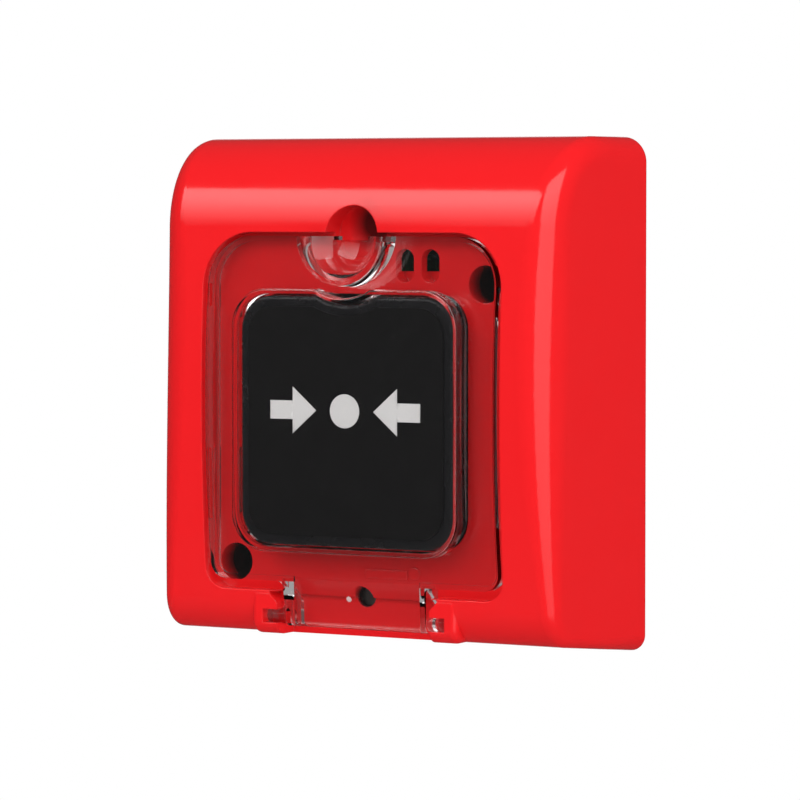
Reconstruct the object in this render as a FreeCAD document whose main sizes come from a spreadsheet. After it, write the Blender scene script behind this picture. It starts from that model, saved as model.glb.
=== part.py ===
# Manual call point: a red two-part housing on a wall plate, with a clear hinged cover over
# a square latching push button, a reset latch, a microswitch and its circuit board.
#
# Frame: millimetres. The origin is the centre of the wall face. X points right as seen
# from the front, Z points up, and the front faces -Y. "Depth" is the distance from the
# wall, so a point at depth d lies at y = -d.

import FreeCAD, Part
import math
import os
import re
import Sketcher

os.makedirs("parts", exist_ok=True)
doc = FreeCAD.newDocument("manual_call_point")

# ---------------------------------------------------------------- driving dimensions

SIZES = [
    # housing
    ("bodyWidth", 90.0, "housing width at the wall"),
    ("bodyHeight", 94.0, "housing height at the wall"),
    ("bodyDepth", 31.0, "wall to the crown of the front"),
    ("sideDraft", 3.8, "how far each side leans in, from the wall to the front"),
    ("frontBow", 350.0, "radius of the front, seen from the side"),
    ("bowCentre", -2.0, "height of the crown of the front"),
    ("underRise", 3.0, "how far the underside rises from the wall to the front"),
    ("shoulderRadius", 18.0, "large curve between the top and the front"),
    ("chinRadius", 7.0, "curve between the front and the underside"),
    ("wallCornerTop", 3.8, "corner radius at the wall, top"),
    ("sideEdgeTop", 6.2, "side edge radius where the shoulder meets the front"),
    ("sideEdgeFoot", 3.4, "side edge radius at the foot of the front"),
    ("wallCornerFoot", 2.0, "corner radius at the wall, foot"),
    ("wall", 2.0, "housing wall"),
    # recess for the cover
    ("recessWidth", 62.8, "recess opening"),
    ("recessTop", 29.6, "upper edge of the recess"),
    ("recessFoot", 36.4, "lower edge of the recess, below the origin"),
    ("recessDepth", 5.0, "crown of the front to the recess floor"),
    ("recessCorner", 10.0, "upper corners of the recess"),
    ("recessFootCorner", 4.0, "lower corners of the recess"),
    ("floorThick", 2.0, "recess floor"),
    ("notchRadius", 5.5, "half-round finger notch above the cover"),
    ("notchWallThick", 1.5, "wall and floor of the finger notch"),
    ("notchFloor", 24.3, "wall to the floor of the finger notch"),
    ("notchDrop", 0.6, "notch centre below the recess edge"),
    ("slotWidth", 3.7, "indicator slots in the recess floor"),
    ("slotHeight", 6.0, "indicator slots in the recess floor"),
    ("slotHeightAbove", 23.5, "height of the slot centres"),
    ("slotInner", 9.7, "first slot, from the centre line"),
    ("slotPitch", 5.3, "between the two slots"),
    ("ledgeRise", 2.0, "ledge behind the foot of the slots"),
    ("ledgeBack", 22.2, "wall to the back of that ledge"),
    ("resetBore", 3.8, "reset hole diameter"),
    ("resetDrop", 36.8, "reset hole below the origin"),
    ("wellBore", 6.8, "screw wells"),
    ("wellSide", 26.3, "screw wells, from the centre line"),
    ("wellTop", 20.3, "upper well above the origin"),
    ("wellFoot", 31.4, "lower well below the origin"),
    ("wellFloorDepth", 9.5, "depth of the seat under the screw head"),
    ("wellFloor", 1.5, "thickness of the seat under the screw head"),
    ("wallOfWell", 1.6, "wall of the screw wells"),
    ("wellHoleGap", 0.25, "radial clearance of the screws through the seats"),
    ("chinCurve", 2.6, "rounding of the hinge chin's foot"),
    ("chinSideCurve", 1.2, "rounding of the hinge chin's sides"),
    ("hingeTopDrop", 0.6, "top of the knuckles below the recess"),
    ("pocketGap", 1.2, "hinge pocket to the tongue, each side"),
    ("pinEndGap", 0.3, "hinge pins to the ends of their bearings"),
    ("earRadius", 2.2, "round end of the latch ears"),
    ("earFoot", 3.4, "foot of the latch ears below the pivot"),
    # cover
    ("coverThick", 2.0, "clear plate"),
    ("coverDepth", 31.3, "wall to the crown of the cover plate"),
    ("coverBow", 240.0, "radius of the cover, seen from the side"),
    ("skirtBack", 26.6, "wall to the back of the cover's skirt"),
    ("skirtThick", 1.0, "skirt round the cover's edge"),
    ("nibOut", 0.5, "snap nibs, out of the cover's sides"),
    ("nibThick", 1.2, "snap nibs, front to back"),
    ("nibTop", 15.8, "foot of the upper nibs, above the origin"),
    ("nibShort", 4.2, "length of the upper nibs"),
    ("nibFoot", 23.4, "foot of the lower nibs, below the origin"),
    ("nibLong", 13.0, "length of the lower nibs"),
    ("coverGap", 1.0, "recess wall to the cover, each side"),
    ("coverTopGap", 0.7, "recess wall to the cover, top"),
    ("coverFootGap", 1.8, "recess wall to the cover, foot"),
    ("coverCorner", 9.2, "upper corners of the cover"),
    ("coverFootCorner", 3.2, "lower corners of the cover"),
    ("domeWall", 0.9, "wall of the raised dome"),
    ("domeFront", 33.0, "wall to the front of the dome"),
    ("domeRoof", 1.1, "front wall of the dome"),
    ("domeCorner", 7.0, "dome corners"),
    ("domeEdge", 0.45, "rounding of the dome's front edge"),
    ("scoopRadius", 9.4, "thumb scoop, outside, at the plate"),
    ("scoopTaper", 4.5, "taper of the thumb scoop, degrees"),
    ("scoopLip", 0.4, "rounding of the scoop's rim"),
    ("scoopFront", 34.2, "wall to the rim of the scoop"),
    ("scoopDish", 8.6, "radius of the hollow of the scoop"),
    ("scoopCentre", 37.4, "depth of the centre of the hollow"),
    ("tongueHalf", 14.9, "half width of the hinge tongue"),
    ("tongueReach", 1.9, "foot of the tongue below the hinge axis"),
    ("tongueFront", 28.4, "wall to the front of the tongue"),
    ("cheekBack", 23.6, "wall to the back of the tongue's cheeks"),
    ("cheek", 1.6, "thickness of the tongue's cheeks"),
    ("tongueCurve", 1.9, "curve at the back of the cheeks' foot"),
    # cover hinge
    ("hingeDepth", 26.5, "wall to the hinge axis"),
    ("hingeAbove", 5.9, "hinge axis above the foot of the housing"),
    ("hingePin", 3.0, "moulded hinge pins, diameter"),
    ("pinFit", 0.08, "radial clearance of the hinge pins"),
    ("pinReach", 4.0, "hinge pins, out of the cheeks"),
    ("snapMouth", 2.5, "mouth of the snap bearings, narrower than the pin"),
    ("knuckleOuter", 21.7, "outer face of the knuckles, from the centre line"),
    ("knuckleFront", 29.3, "wall to the front of the knuckles"),
    ("knuckleReach", 3.4, "foot of the knuckles below the hinge axis"),
    ("knuckleCorner", 1.6, "chamfer on the knuckles' inner corners"),
    ("throatRise", 2.4, "top of the slope into the hinge pocket, above the recess foot"),
    ("throatDrop", 1.7, "foot of that slope, below the recess foot"),
    ("pocketFloor", 23.2, "wall to the floor of the hinge pocket"),
    # button
    ("buttonWidth", 44.8, "push button"),
    ("buttonHeight", 45.6, "push button"),
    ("buttonDrop", 4.8, "button centre below the origin"),
    ("dipBlend", 1.2, "curve at the ends of the dip"),
    ("openingCorner", 6.0, "corners of the button opening"),
    ("buttonFront", 31.2, "wall to the face of the button"),
    ("buttonWall", 1.7, "button walls"),
    ("buttonEdge", 0.7, "rounding of the button's face"),
    ("buttonGap", 0.35, "button to the housing, each side"),
    ("buttonSkirt", 17.5, "wall to the end of the button's skirt"),
    ("buttonTravel", 4.0, "button travel"),
    ("coverOverButton", 0.4, "button to the inside of the dome"),
    ("dipRadius", 11.2, "dip in the top edge of the dome, about the scoop"),
    ("labelInset", 1.9, "edge of the button to the label"),
    ("labelThick", 0.3, "label"),
    ("collarBack", 19.8, "wall to the end of the guide collar"),
    ("collarWall", 1.6, "guide collar"),
    ("hookReach", 1.4, "retaining hooks, out of the skirt"),
    ("hookWidth", 9.0, "retaining hooks"),
    ("hookGap", 0.4, "hooks to the end of the collar"),
    ("tongueNose", 1.9, "rounding of the tongue's foot"),
    ("tongueRootCurve", 1.3, "curve from the plate's foot into the tongue"),
    ("nickHalf", 3.6, "shallow nick in the cover's top edge, half width"),
    ("nickDeep", 0.7, "shallow nick in the cover's top edge"),
    ("springPlay", 0.3, "spring posts to the coils"),
    ("ramPlace", 2.6, "ram over the switch lever, from the centre line"),
    ("ramSize", 3.2, "ram, square"),
    ("ramEnd", 23.4, "wall to the end of the ram"),
    ("ribWall", 1.2, "ribs under the button's face"),
    ("ribDeep", 2.4, "ribs under the button's face"),
    ("latchWindow", 3.0, "window for the latch nose, along the skirt"),
    # springs
    ("springInset", 5.4, "return springs, from the sides of the button"),
    ("springMean", 5.0, "return springs, mean coil diameter"),
    ("springWire", 0.6, "return springs, wire"),
    ("springTurns", 5.0, "return springs"),
    ("springSeat", 22.0, "wall to the spring seat on the button"),
    ("springPost", 15.0, "wall to the end of the button's spring posts"),
    # reset latch
    ("latchWidth", 7.0, "reset latch"),
    ("latchPivotDepth", 15.0, "wall to the latch pivot"),
    ("latchPivotDrop", 31.2, "latch pivot below the origin"),
    ("latchPin", 2.0, "latch pin, diameter"),
    ("latchFit", 0.08, "radial clearance of the latch on its pin"),
    ("latchGap", 0.3, "latch nose to the button"),
    ("earWall", 1.5, "ears that hold the latch pin"),
    ("earGap", 0.4, "latch to each ear"),
    ("padFront", 19.5, "wall to the pad behind the reset hole"),
    ("padHeight", 3.4, "pad behind the reset hole"),
    ("noseAhead", 3.8, "latch nose, ahead of the pivot"),
    ("noseThick", 2.0, "latch nose"),
    ("latchArm", 2.2, "half thickness of the latch round its pin"),
    # wall plate and circuit board
    ("plateThick", 2.4, "wall plate"),
    ("plateGap", 0.3, "wall plate to the housing wall"),
    ("rimHeight", 6.0, "stiffening rim of the wall plate, from the wall"),
    ("rimWall", 1.4, "stiffening rim of the wall plate"),
    ("fixingSpacing", 63.0, "wall fixing holes"),
    ("fixingBore", 4.5, "wall fixing holes"),
    ("entryWidth", 26.0, "cable entry in the wall plate"),
    ("entryHeight", 8.0, "cable entry in the wall plate"),
    ("entryAbove", 36.0, "height of the cable entry"),
    ("boardWidth", 42.0, "circuit board"),
    ("boardTop", 28.0, "upper edge of the board"),
    ("boardFoot", 34.0, "lower edge of the board, below the origin"),
    ("boardBack", 7.0, "wall to the back of the board"),
    ("boardThick", 1.6, "circuit board"),
    ("postRadius", 2.7, "board posts"),
    ("boardScrew", 2.4, "board screw shanks"),
    ("mainScrew", 2.9, "housing screw shanks"),
    ("screwFit", 0.05, "radial clearance of the screws in their pilots"),
    # screws, board parts
    ("plateCorner", 2.4, "corners of the wall plate"),
    ("rimSet", 1.2, "edge of the wall plate to its rim"),
    ("mainPost", 4.0, "radius of the posts for the housing screws"),
    ("mainHead", 5.6, "head of the housing screws"),
    ("mainHeadHeight", 2.1, "head of the housing screws"),
    ("mainScrewEnd", 1.8, "wall to the end of the housing screws"),
    ("boardHead", 4.4, "head of the board screws"),
    ("boardHeadHeight", 1.7, "head of the board screws"),
    ("boardScrewEnd", 3.2, "wall to the end of the board screws"),
    ("boardHoleSet", 3.2, "edge of the board to its holes"),
    ("boardHoleDrop", 14.0, "right upper hole below the board's edge"),
    ("latchSpringMean", 2.8, "latch spring, mean coil diameter"),
    ("latchSpringWire", 0.4, "latch spring, wire"),
    ("latchSpringTurns", 5.0, "latch spring"),
    ("latchPost", 9.6, "wall to the seat of the latch spring"),
    ("terminalTall", 8.4, "terminal block"),
    ("terminalDeep", 7.6, "terminal block"),
    ("terminalLeft", -13.0, "left end of the terminal block"),
    ("terminalPitch", 3.5, "terminal block"),
    ("terminalWays", 5.0, "terminal block"),
    ("terminalInset", 0.5, "terminal block below the board's top edge"),
    ("terminalStep", 5.0, "upright part of the terminal block's sides"),
    ("terminalSlope", 2.0, "slope above it, at the top"),
    ("terminalHead", 1.6, "thickness of the clamp screws"),
    ("terminalSlit", 0.5, "width of their slots"),
    ("wireMouth", 2.2, "wire entries, width"),
    ("wireTall", 2.6, "wire entries, front to back"),
    ("wireFloor", 1.6, "board to the wire entries"),
    ("wireDeep", 3.5, "depth of the wire entries"),
    ("terminalScrew", 2.2, "terminal screws"),
    ("terminalSunk", 2.6, "terminal screws, below the block's face"),
    ("switchLong", 19.8, "microswitch"),
    ("switchDeep", 6.4, "microswitch"),
    ("switchTall", 9.2, "microswitch"),
    ("leverReach", 11.0, "lever pivot to the ram"),
    ("leverInset", 1.2, "lever pivot from the end of the switch"),
    ("earAbove", 0.7, "switch ears above the lever pivot"),
    ("leverLift", 1.0, "lever pivot above the switch"),
    ("leverRise", 4.0, "rise of the lever over its length"),
    ("leverWidth", 3.6, "switch lever"),
    ("leverThick", 0.4, "switch lever"),
    ("leverPin", 1.0, "hinge pin of the lever"),
    ("leverFit", 0.06, "radial clearance of the lever's pin"),
    ("plungerSize", 1.6, "switch plunger"),
    ("plungerOut", 1.5, "switch plunger above the switch"),
    ("plungerPlace", 4.6, "switch plunger from the lever pivot"),
    ("lampSize", 3.0, "indicator lamps"),
    ("lampFlange", 3.8, "flange of the indicator lamps"),
    ("lampTall", 5.2, "indicator lamps"),
    ("spacerTall", 8.0, "lamp spacers"),
    ("chipAcross", -14.5, "controller, centre"),
    ("chipUp", -18.9, "controller, centre"),
    ("chipWide", 4.9, "controller"),
    ("chipLong", 6.2, "controller"),
    ("chipLift", 0.15, "controller, above the board"),
    ("chipTall", 1.7, "controller, top above the board"),
    ("chipLegFirst", 0.9, "end of the controller to its first leg"),
    ("chipLegPitch", 1.27, "controller legs"),
    ("chipLegOut", 1.0, "controller legs"),
    ("chipLegWide", 0.45, "controller legs"),
    ("chipLegTall", 0.5, "controller legs"),
    ("canRadius", 2.5, "capacitor"),
    ("canTall", 5.0, "capacitor"),
    ("canGroove", 0.2, "groove round the capacitor"),
    ("canNeck", 1.1, "height of the groove round the capacitor"),
    ("canAcross", 10.5, "capacitor, centre"),
    ("canUp", -18.0, "capacitor, centre"),
    ("bridgeLeft", -17.0, "bridge rectifier"),
    ("bridgeLow", 7.0, "bridge rectifier"),
    ("bridgeLong", 5.5, "bridge rectifier"),
    ("bridgeWide", 5.0, "bridge rectifier"),
    ("bridgeTall", 2.6, "bridge rectifier"),
    ("resistorLeft", -9.0, "first resistor"),
    ("resistorLow", 10.0, "resistors"),
    ("resistorPitch", 3.4, "resistors"),
    ("resistorWide", 1.6, "resistors"),
    ("resistorLong", 3.2, "resistors"),
    ("resistorTall", 0.6, "resistors"),
]

sheet = doc.addObject("Spreadsheet::Sheet", "Sizes")
for row, (alias, size, note) in enumerate(SIZES, start=1):
    sheet.set(f"A{row}", str(size))
    sheet.setAlias(f"A{row}", alias)
    sheet.set(f"B{row}", note)
doc.recompute()
ALIASES = {alias for alias, size, note in SIZES}

# ---------------------------------------------------------------- helpers


def formula(text):
    """An expression in the sheet's words, such as "bodyWidth / 2", as the document reads it."""
    return re.sub(r"[A-Za-z]\w*", lambda w: "Sizes." + w[0] if w[0] in ALIASES else w[0], str(text))


def number(text):
    return float(sheet.evalExpression(formula(text)))


def bind(item, path, text):
    item.setExpression(path, formula(text))


def sketch(body, plane, name, across="0", up="0", away="0"):
    """A sketch on one of the body's own planes. XZ faces the front, YZ the right, XY the top."""
    drawing = body.newObject("Sketcher::SketchObject", name)
    role = plane + "_Plane"
    support = [f for f in body.Origin.OriginFeatures if f.Role == role][0]
    drawing.AttachmentSupport = (support, [""])
    drawing.MapMode = "FlatFace"
    for axis, text in (("x", across), ("y", up), ("z", away)):
        bind(drawing, "AttachmentOffset.Base." + axis, text)
    return drawing


def pin(drawing, geo, end, across, up):
    """Fix one point of the sketch at two bound distances from its origin."""
    for kind, text in (("DistanceX", across), ("DistanceY", up)):
        at = drawing.addConstraint(Sketcher.Constraint(kind, -1, 1, geo, end, number(text)))
        bind(drawing, f"Constraints[{at}]", text)


def outline(drawing, corners, arcs=None):
    """A closed line through the corners. arcs gives {side: (radius, +1 left or -1 right bulge)}."""
    arcs = arcs or {}
    points = [FreeCAD.Vector(number(a), number(b), 0) for a, b in corners]
    first = drawing.GeometryCount
    ends = []
    for side, start in enumerate(points):
        stop = points[(side + 1) % len(points)]
        if side not in arcs:
            drawing.addGeometry(Part.LineSegment(start, stop))
            ends.append((1, 2))
            continue
        radius, bulge = arcs[side]
        size = number(radius)
        chord = stop - start
        normal = FreeCAD.Vector(-chord.y, chord.x, 0).normalize()
        reach = math.sqrt(max(size**2 - chord.Length**2 / 4, 0))
        centre = start + chord * 0.5 - normal * (bulge * reach)
        turn = [math.atan2(p.y - centre.y, p.x - centre.x) for p in (start, stop)]
        if bulge > 0:
            turn.reverse()
        circle = Part.Circle(centre, FreeCAD.Vector(0, 0, 1), size)
        geo = drawing.addGeometry(Part.ArcOfCircle(circle, turn[0], turn[1]))
        at = drawing.addConstraint(Sketcher.Constraint("Radius", geo, size))
        bind(drawing, f"Constraints[{at}]", radius)
        ends.append((2, 1) if bulge > 0 else (1, 2))
    for side, (across, up) in enumerate(corners):
        before = (side - 1) % len(points)
        joined = (first + before, ends[before][1], first + side, ends[side][0])
        drawing.addConstraint(Sketcher.Constraint("Coincident", *joined))
        pin(drawing, first + side, ends[side][0], across, up)


def roundedBox(drawing, width, height, top, foot=None, across="0", up="0"):
    """A rectangle about a centre, with one radius for its upper and one for its lower corners."""
    top, foot = f"({top})", f"({foot or top})"
    half = f"({width}) / 2"
    tall = f"({height}) / 2"
    corners = [
        (f"-{half} + {foot}", f"-{tall}"), (f"{half} - {foot}", f"-{tall}"),
        (half, f"-{tall} + {foot}"), (half, f"{tall} - {top}"),
        (f"{half} - {top}", tall), (f"-{half} + {top}", tall),
        (f"-{half}", f"{tall} - {top}"), (f"-{half}", f"-{tall} + {foot}"),
    ]
    corners = [(f"{across} + ({a})", f"{up} + ({b})") for a, b in corners]
    outline(drawing, corners, {1: (foot, -1), 3: (top, -1), 5: (top, -1), 7: (foot, -1)})


def circle(drawing, diameter, across="0", up="0"):
    place = FreeCAD.Vector(number(across), number(up), 0)
    shape = Part.Circle(place, FreeCAD.Vector(0, 0, 1), number(diameter) / 2)
    geo = drawing.addGeometry(shape)
    pin(drawing, geo, 3, across, up)
    at = drawing.addConstraint(Sketcher.Constraint("Diameter", geo, number(diameter)))
    bind(drawing, f"Constraints[{at}]", diameter)


def box(drawing, left, right, low, high):
    outline(drawing, [(left, low), (right, low), (right, high), (left, high)])


def feature(body, kind, drawing, length, both=False, back=False, taper=None):
    """Pad or Pocket a sketch by a bound length: both ways, or with back=True against its normal."""
    step = body.newObject("PartDesign::" + kind, drawing.Name + kind)
    step.Profile = drawing
    bind(step, "Length", length)
    step.Midplane = both
    step.Reversed = back
    if taper:
        bind(step, "TaperAngle", taper)
    drawing.Visibility = False
    return step


def pad(body, drawing, length, both=False, back=False, taper=None):
    return feature(body, "Pad", drawing, length, both, back, taper)


def pocket(body, drawing, length, both=False, back=False):
    """Cut, and make sure that the cut took something away."""
    doc.recompute()
    before = body.Shape.Volume
    step = feature(body, "Pocket", drawing, length, both, back)
    doc.recompute()
    if body.Shape.Volume > before - 1e-6:
        raise ValueError(f"{step.Label} cuts nothing")
    return step


def roundOff(body, name, radius, wanted):
    """Fillet the edges of the body that wanted(edge) picks."""
    doc.recompute()
    tip = body.Tip
    edges = [f"Edge{i}" for i, edge in enumerate(tip.Shape.Edges, start=1) if wanted(edge)]
    if not edges:
        raise ValueError(f"{name} found no edges")
    step = body.newObject("PartDesign::Fillet", name)
    step.Base = (tip, edges)
    bind(step, "Radius", radius)
    return step


def newBody(name):
    body = doc.addObject("PartDesign::Body", name)
    body.Label = name
    return body


def block(name, left, right, low, high, back, front):
    """A box from bound limits: across, up and in depth."""
    solid = doc.addObject("Part::Box", name)
    bind(solid, "Length", f"({right}) - ({left})")
    bind(solid, "Width", f"({front}) - ({back})")
    bind(solid, "Height", f"({high}) - ({low})")
    bind(solid, "Placement.Base.x", left)
    bind(solid, "Placement.Base.y", f"-({front})")
    bind(solid, "Placement.Base.z", low)
    return solid


def rod(name, diameter, back, front, across="0", up="0"):
    """A cylinder that points out of the wall, from one depth to another."""
    solid = doc.addObject("Part::Cylinder", name)
    solid.Placement.Rotation = FreeCAD.Rotation(FreeCAD.Vector(1, 0, 0), 90)
    bind(solid, "Radius", f"({diameter}) / 2")
    bind(solid, "Height", f"({front}) - ({back})")
    bind(solid, "Placement.Base.x", across)
    bind(solid, "Placement.Base.y", f"-({back})")
    bind(solid, "Placement.Base.z", up)
    return solid


def axle(name, diameter, left, right, depth, up):
    """A cylinder that lies across, from left to right."""
    solid = doc.addObject("Part::Cylinder", name)
    solid.Placement.Rotation = FreeCAD.Rotation(FreeCAD.Vector(0, 1, 0), 90)
    bind(solid, "Radius", f"({diameter}) / 2")
    bind(solid, "Height", f"({right}) - ({left})")
    bind(solid, "Placement.Base.x", left)
    bind(solid, "Placement.Base.y", f"-({depth})")
    bind(solid, "Placement.Base.z", up)
    return solid


def post(name, diameter, low, high, across, depth):
    """A cylinder that stands upright, from low to high."""
    solid = doc.addObject("Part::Cylinder", name)
    bind(solid, "Radius", f"({diameter}) / 2")
    bind(solid, "Height", f"({high}) - ({low})")
    bind(solid, "Placement.Base.x", across)
    bind(solid, "Placement.Base.y", f"-({depth})")
    bind(solid, "Placement.Base.z", low)
    return solid


def fuse(name, *solids):
    joined = doc.addObject("Part::MultiFuse", name)
    joined.Shapes = list(solids)
    joined.Refine = True
    return joined


def cut(name, base, *tools):
    result = doc.addObject("Part::Cut", name)
    result.Base = base
    result.Tool = tools[0] if len(tools) == 1 else fuse(name + "Tools", *tools)
    result.Refine = True
    return result


def common(name, base, tool):
    shared = doc.addObject("Part::Common", name)
    shared.Base = base
    shared.Tool = tool
    return shared


SUB_PARTS = {}


def keep(name, item):
    """Name the finished sub-part, which is written to parts/name.step."""
    item.Label = name
    SUB_PARTS[name] = item


# ---------------------------------------------------------------- housing

FLOOR = "(bodyDepth - recessDepth)"
RECESS_HEIGHT = "(recessTop + recessFoot)"
RECESS_MIDDLE = "((recessTop - recessFoot) / 2)"
LONG = "(bodyDepth + 20)"
HINGE_DROP = "(bodyHeight / 2 - hingeAbove)"
TONGUE_FOOT = f"({HINGE_DROP} + tongueReach)"
KNUCKLE_FOOT = f"({HINGE_DROP} + knuckleReach)"
SPRING_SIDE = "(buttonWidth / 2 - springInset)"
WELLS = [("wellSide", "wellTop"), ("-wellSide", "-wellFoot")]


def bowDepth(depth, bow, up):
    """Depth of a bowed front at a height: the crown's depth less the sagitta."""
    return f"({depth} - {bow} + sqrt({bow}^2 - (({up}) - bowCentre)^2))"


def pillow(name, inset):
    """The housing's outer form, or its hollow when inset by the wall."""
    body = newBody(name + "Form")
    low = f"(-bodyHeight / 2 + {inset})"
    high = f"(bodyHeight / 2 - {inset})"
    rise = f"({low} + underRise)"
    crown = f"(bodyDepth - {inset})"
    bow = f"(frontBow - {inset})"
    side = sketch(body, "YZ", name + "Side")
    corners = [
        ("0", low),
        (f"-{bowDepth(crown, bow, rise)}", rise),
        (f"-{bowDepth(crown, bow, high)}", high),
        ("0", high),
    ]
    outline(side, corners, {1: (bow, 1)})
    pad(body, side, f"bodyWidth - 2 * {inset}", both=True)
    plan = sketch(body, "XY", name + "Plan")
    wallHalf = f"(bodyWidth / 2 - {inset})"
    frontHalf = f"(bodyWidth / 2 - sideDraft - {inset})"
    far = f"(-{crown} * 2)"
    farHalf = f"({wallHalf} - ({wallHalf} - {frontHalf}) * 2)"
    for way in ("", "-"):
        outline(plan, [(f"{way}{wallHalf}", "0"), (f"{way}{farHalf}", far), (f"{way}{wallHalf}", far)])
    pocket(body, plan, "bodyHeight * 2", both=True)
    isTop = lambda e: e.BoundBox.XLength > 20 and e.CenterOfMass.y < -5 and e.CenterOfMass.z > 20
    isFoot = lambda e: e.BoundBox.XLength > 20 and e.CenterOfMass.y < -5 and e.CenterOfMass.z < -20
    roundOff(body, name + "Shoulder", f"shoulderRadius - {inset}", isTop)
    roundOff(body, name + "Chin", f"chinRadius - {inset}", isFoot)
    onSide = lambda e: abs(e.CenterOfMass.x) > number(frontHalf) - 1 and e.CenterOfMass.y < -0.01
    if inset != "0":
        roundOff(body, name + "Sides", f"wallCornerTop - {inset}", onSide)
        return body
    doc.recompute()
    edged = doc.addObject("Part::Fillet", name)
    edged.Base = body
    edged.Edges = [
        (i, sideRadius(edge.valueAt(edge.FirstParameter)), sideRadius(edge.valueAt(edge.LastParameter)))
        for i, edge in enumerate(body.Shape.Edges, start=1) if onSide(edge)
    ]
    return edged


def sideRadius(point):
    """Radius of the side edges: small at the wall, largest where the shoulder meets the front."""
    top = number("bodyHeight / 2 - shoulderRadius")
    foot = number("-bodyHeight / 2 + chinRadius + underRise")
    reach = min(-point.y / number("bodyDepth"), 1)
    share = min(max((point.z - foot) / (top - foot), 0), 1)
    edge = number("sideEdgeFoot") * (1 - share) + number("sideEdgeTop") * share
    corner = number("wallCornerTop") if point.z > 0 else number("wallCornerFoot")
    if 0 < share < 1:
        return edge
    return corner + (edge - corner) * reach


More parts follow.
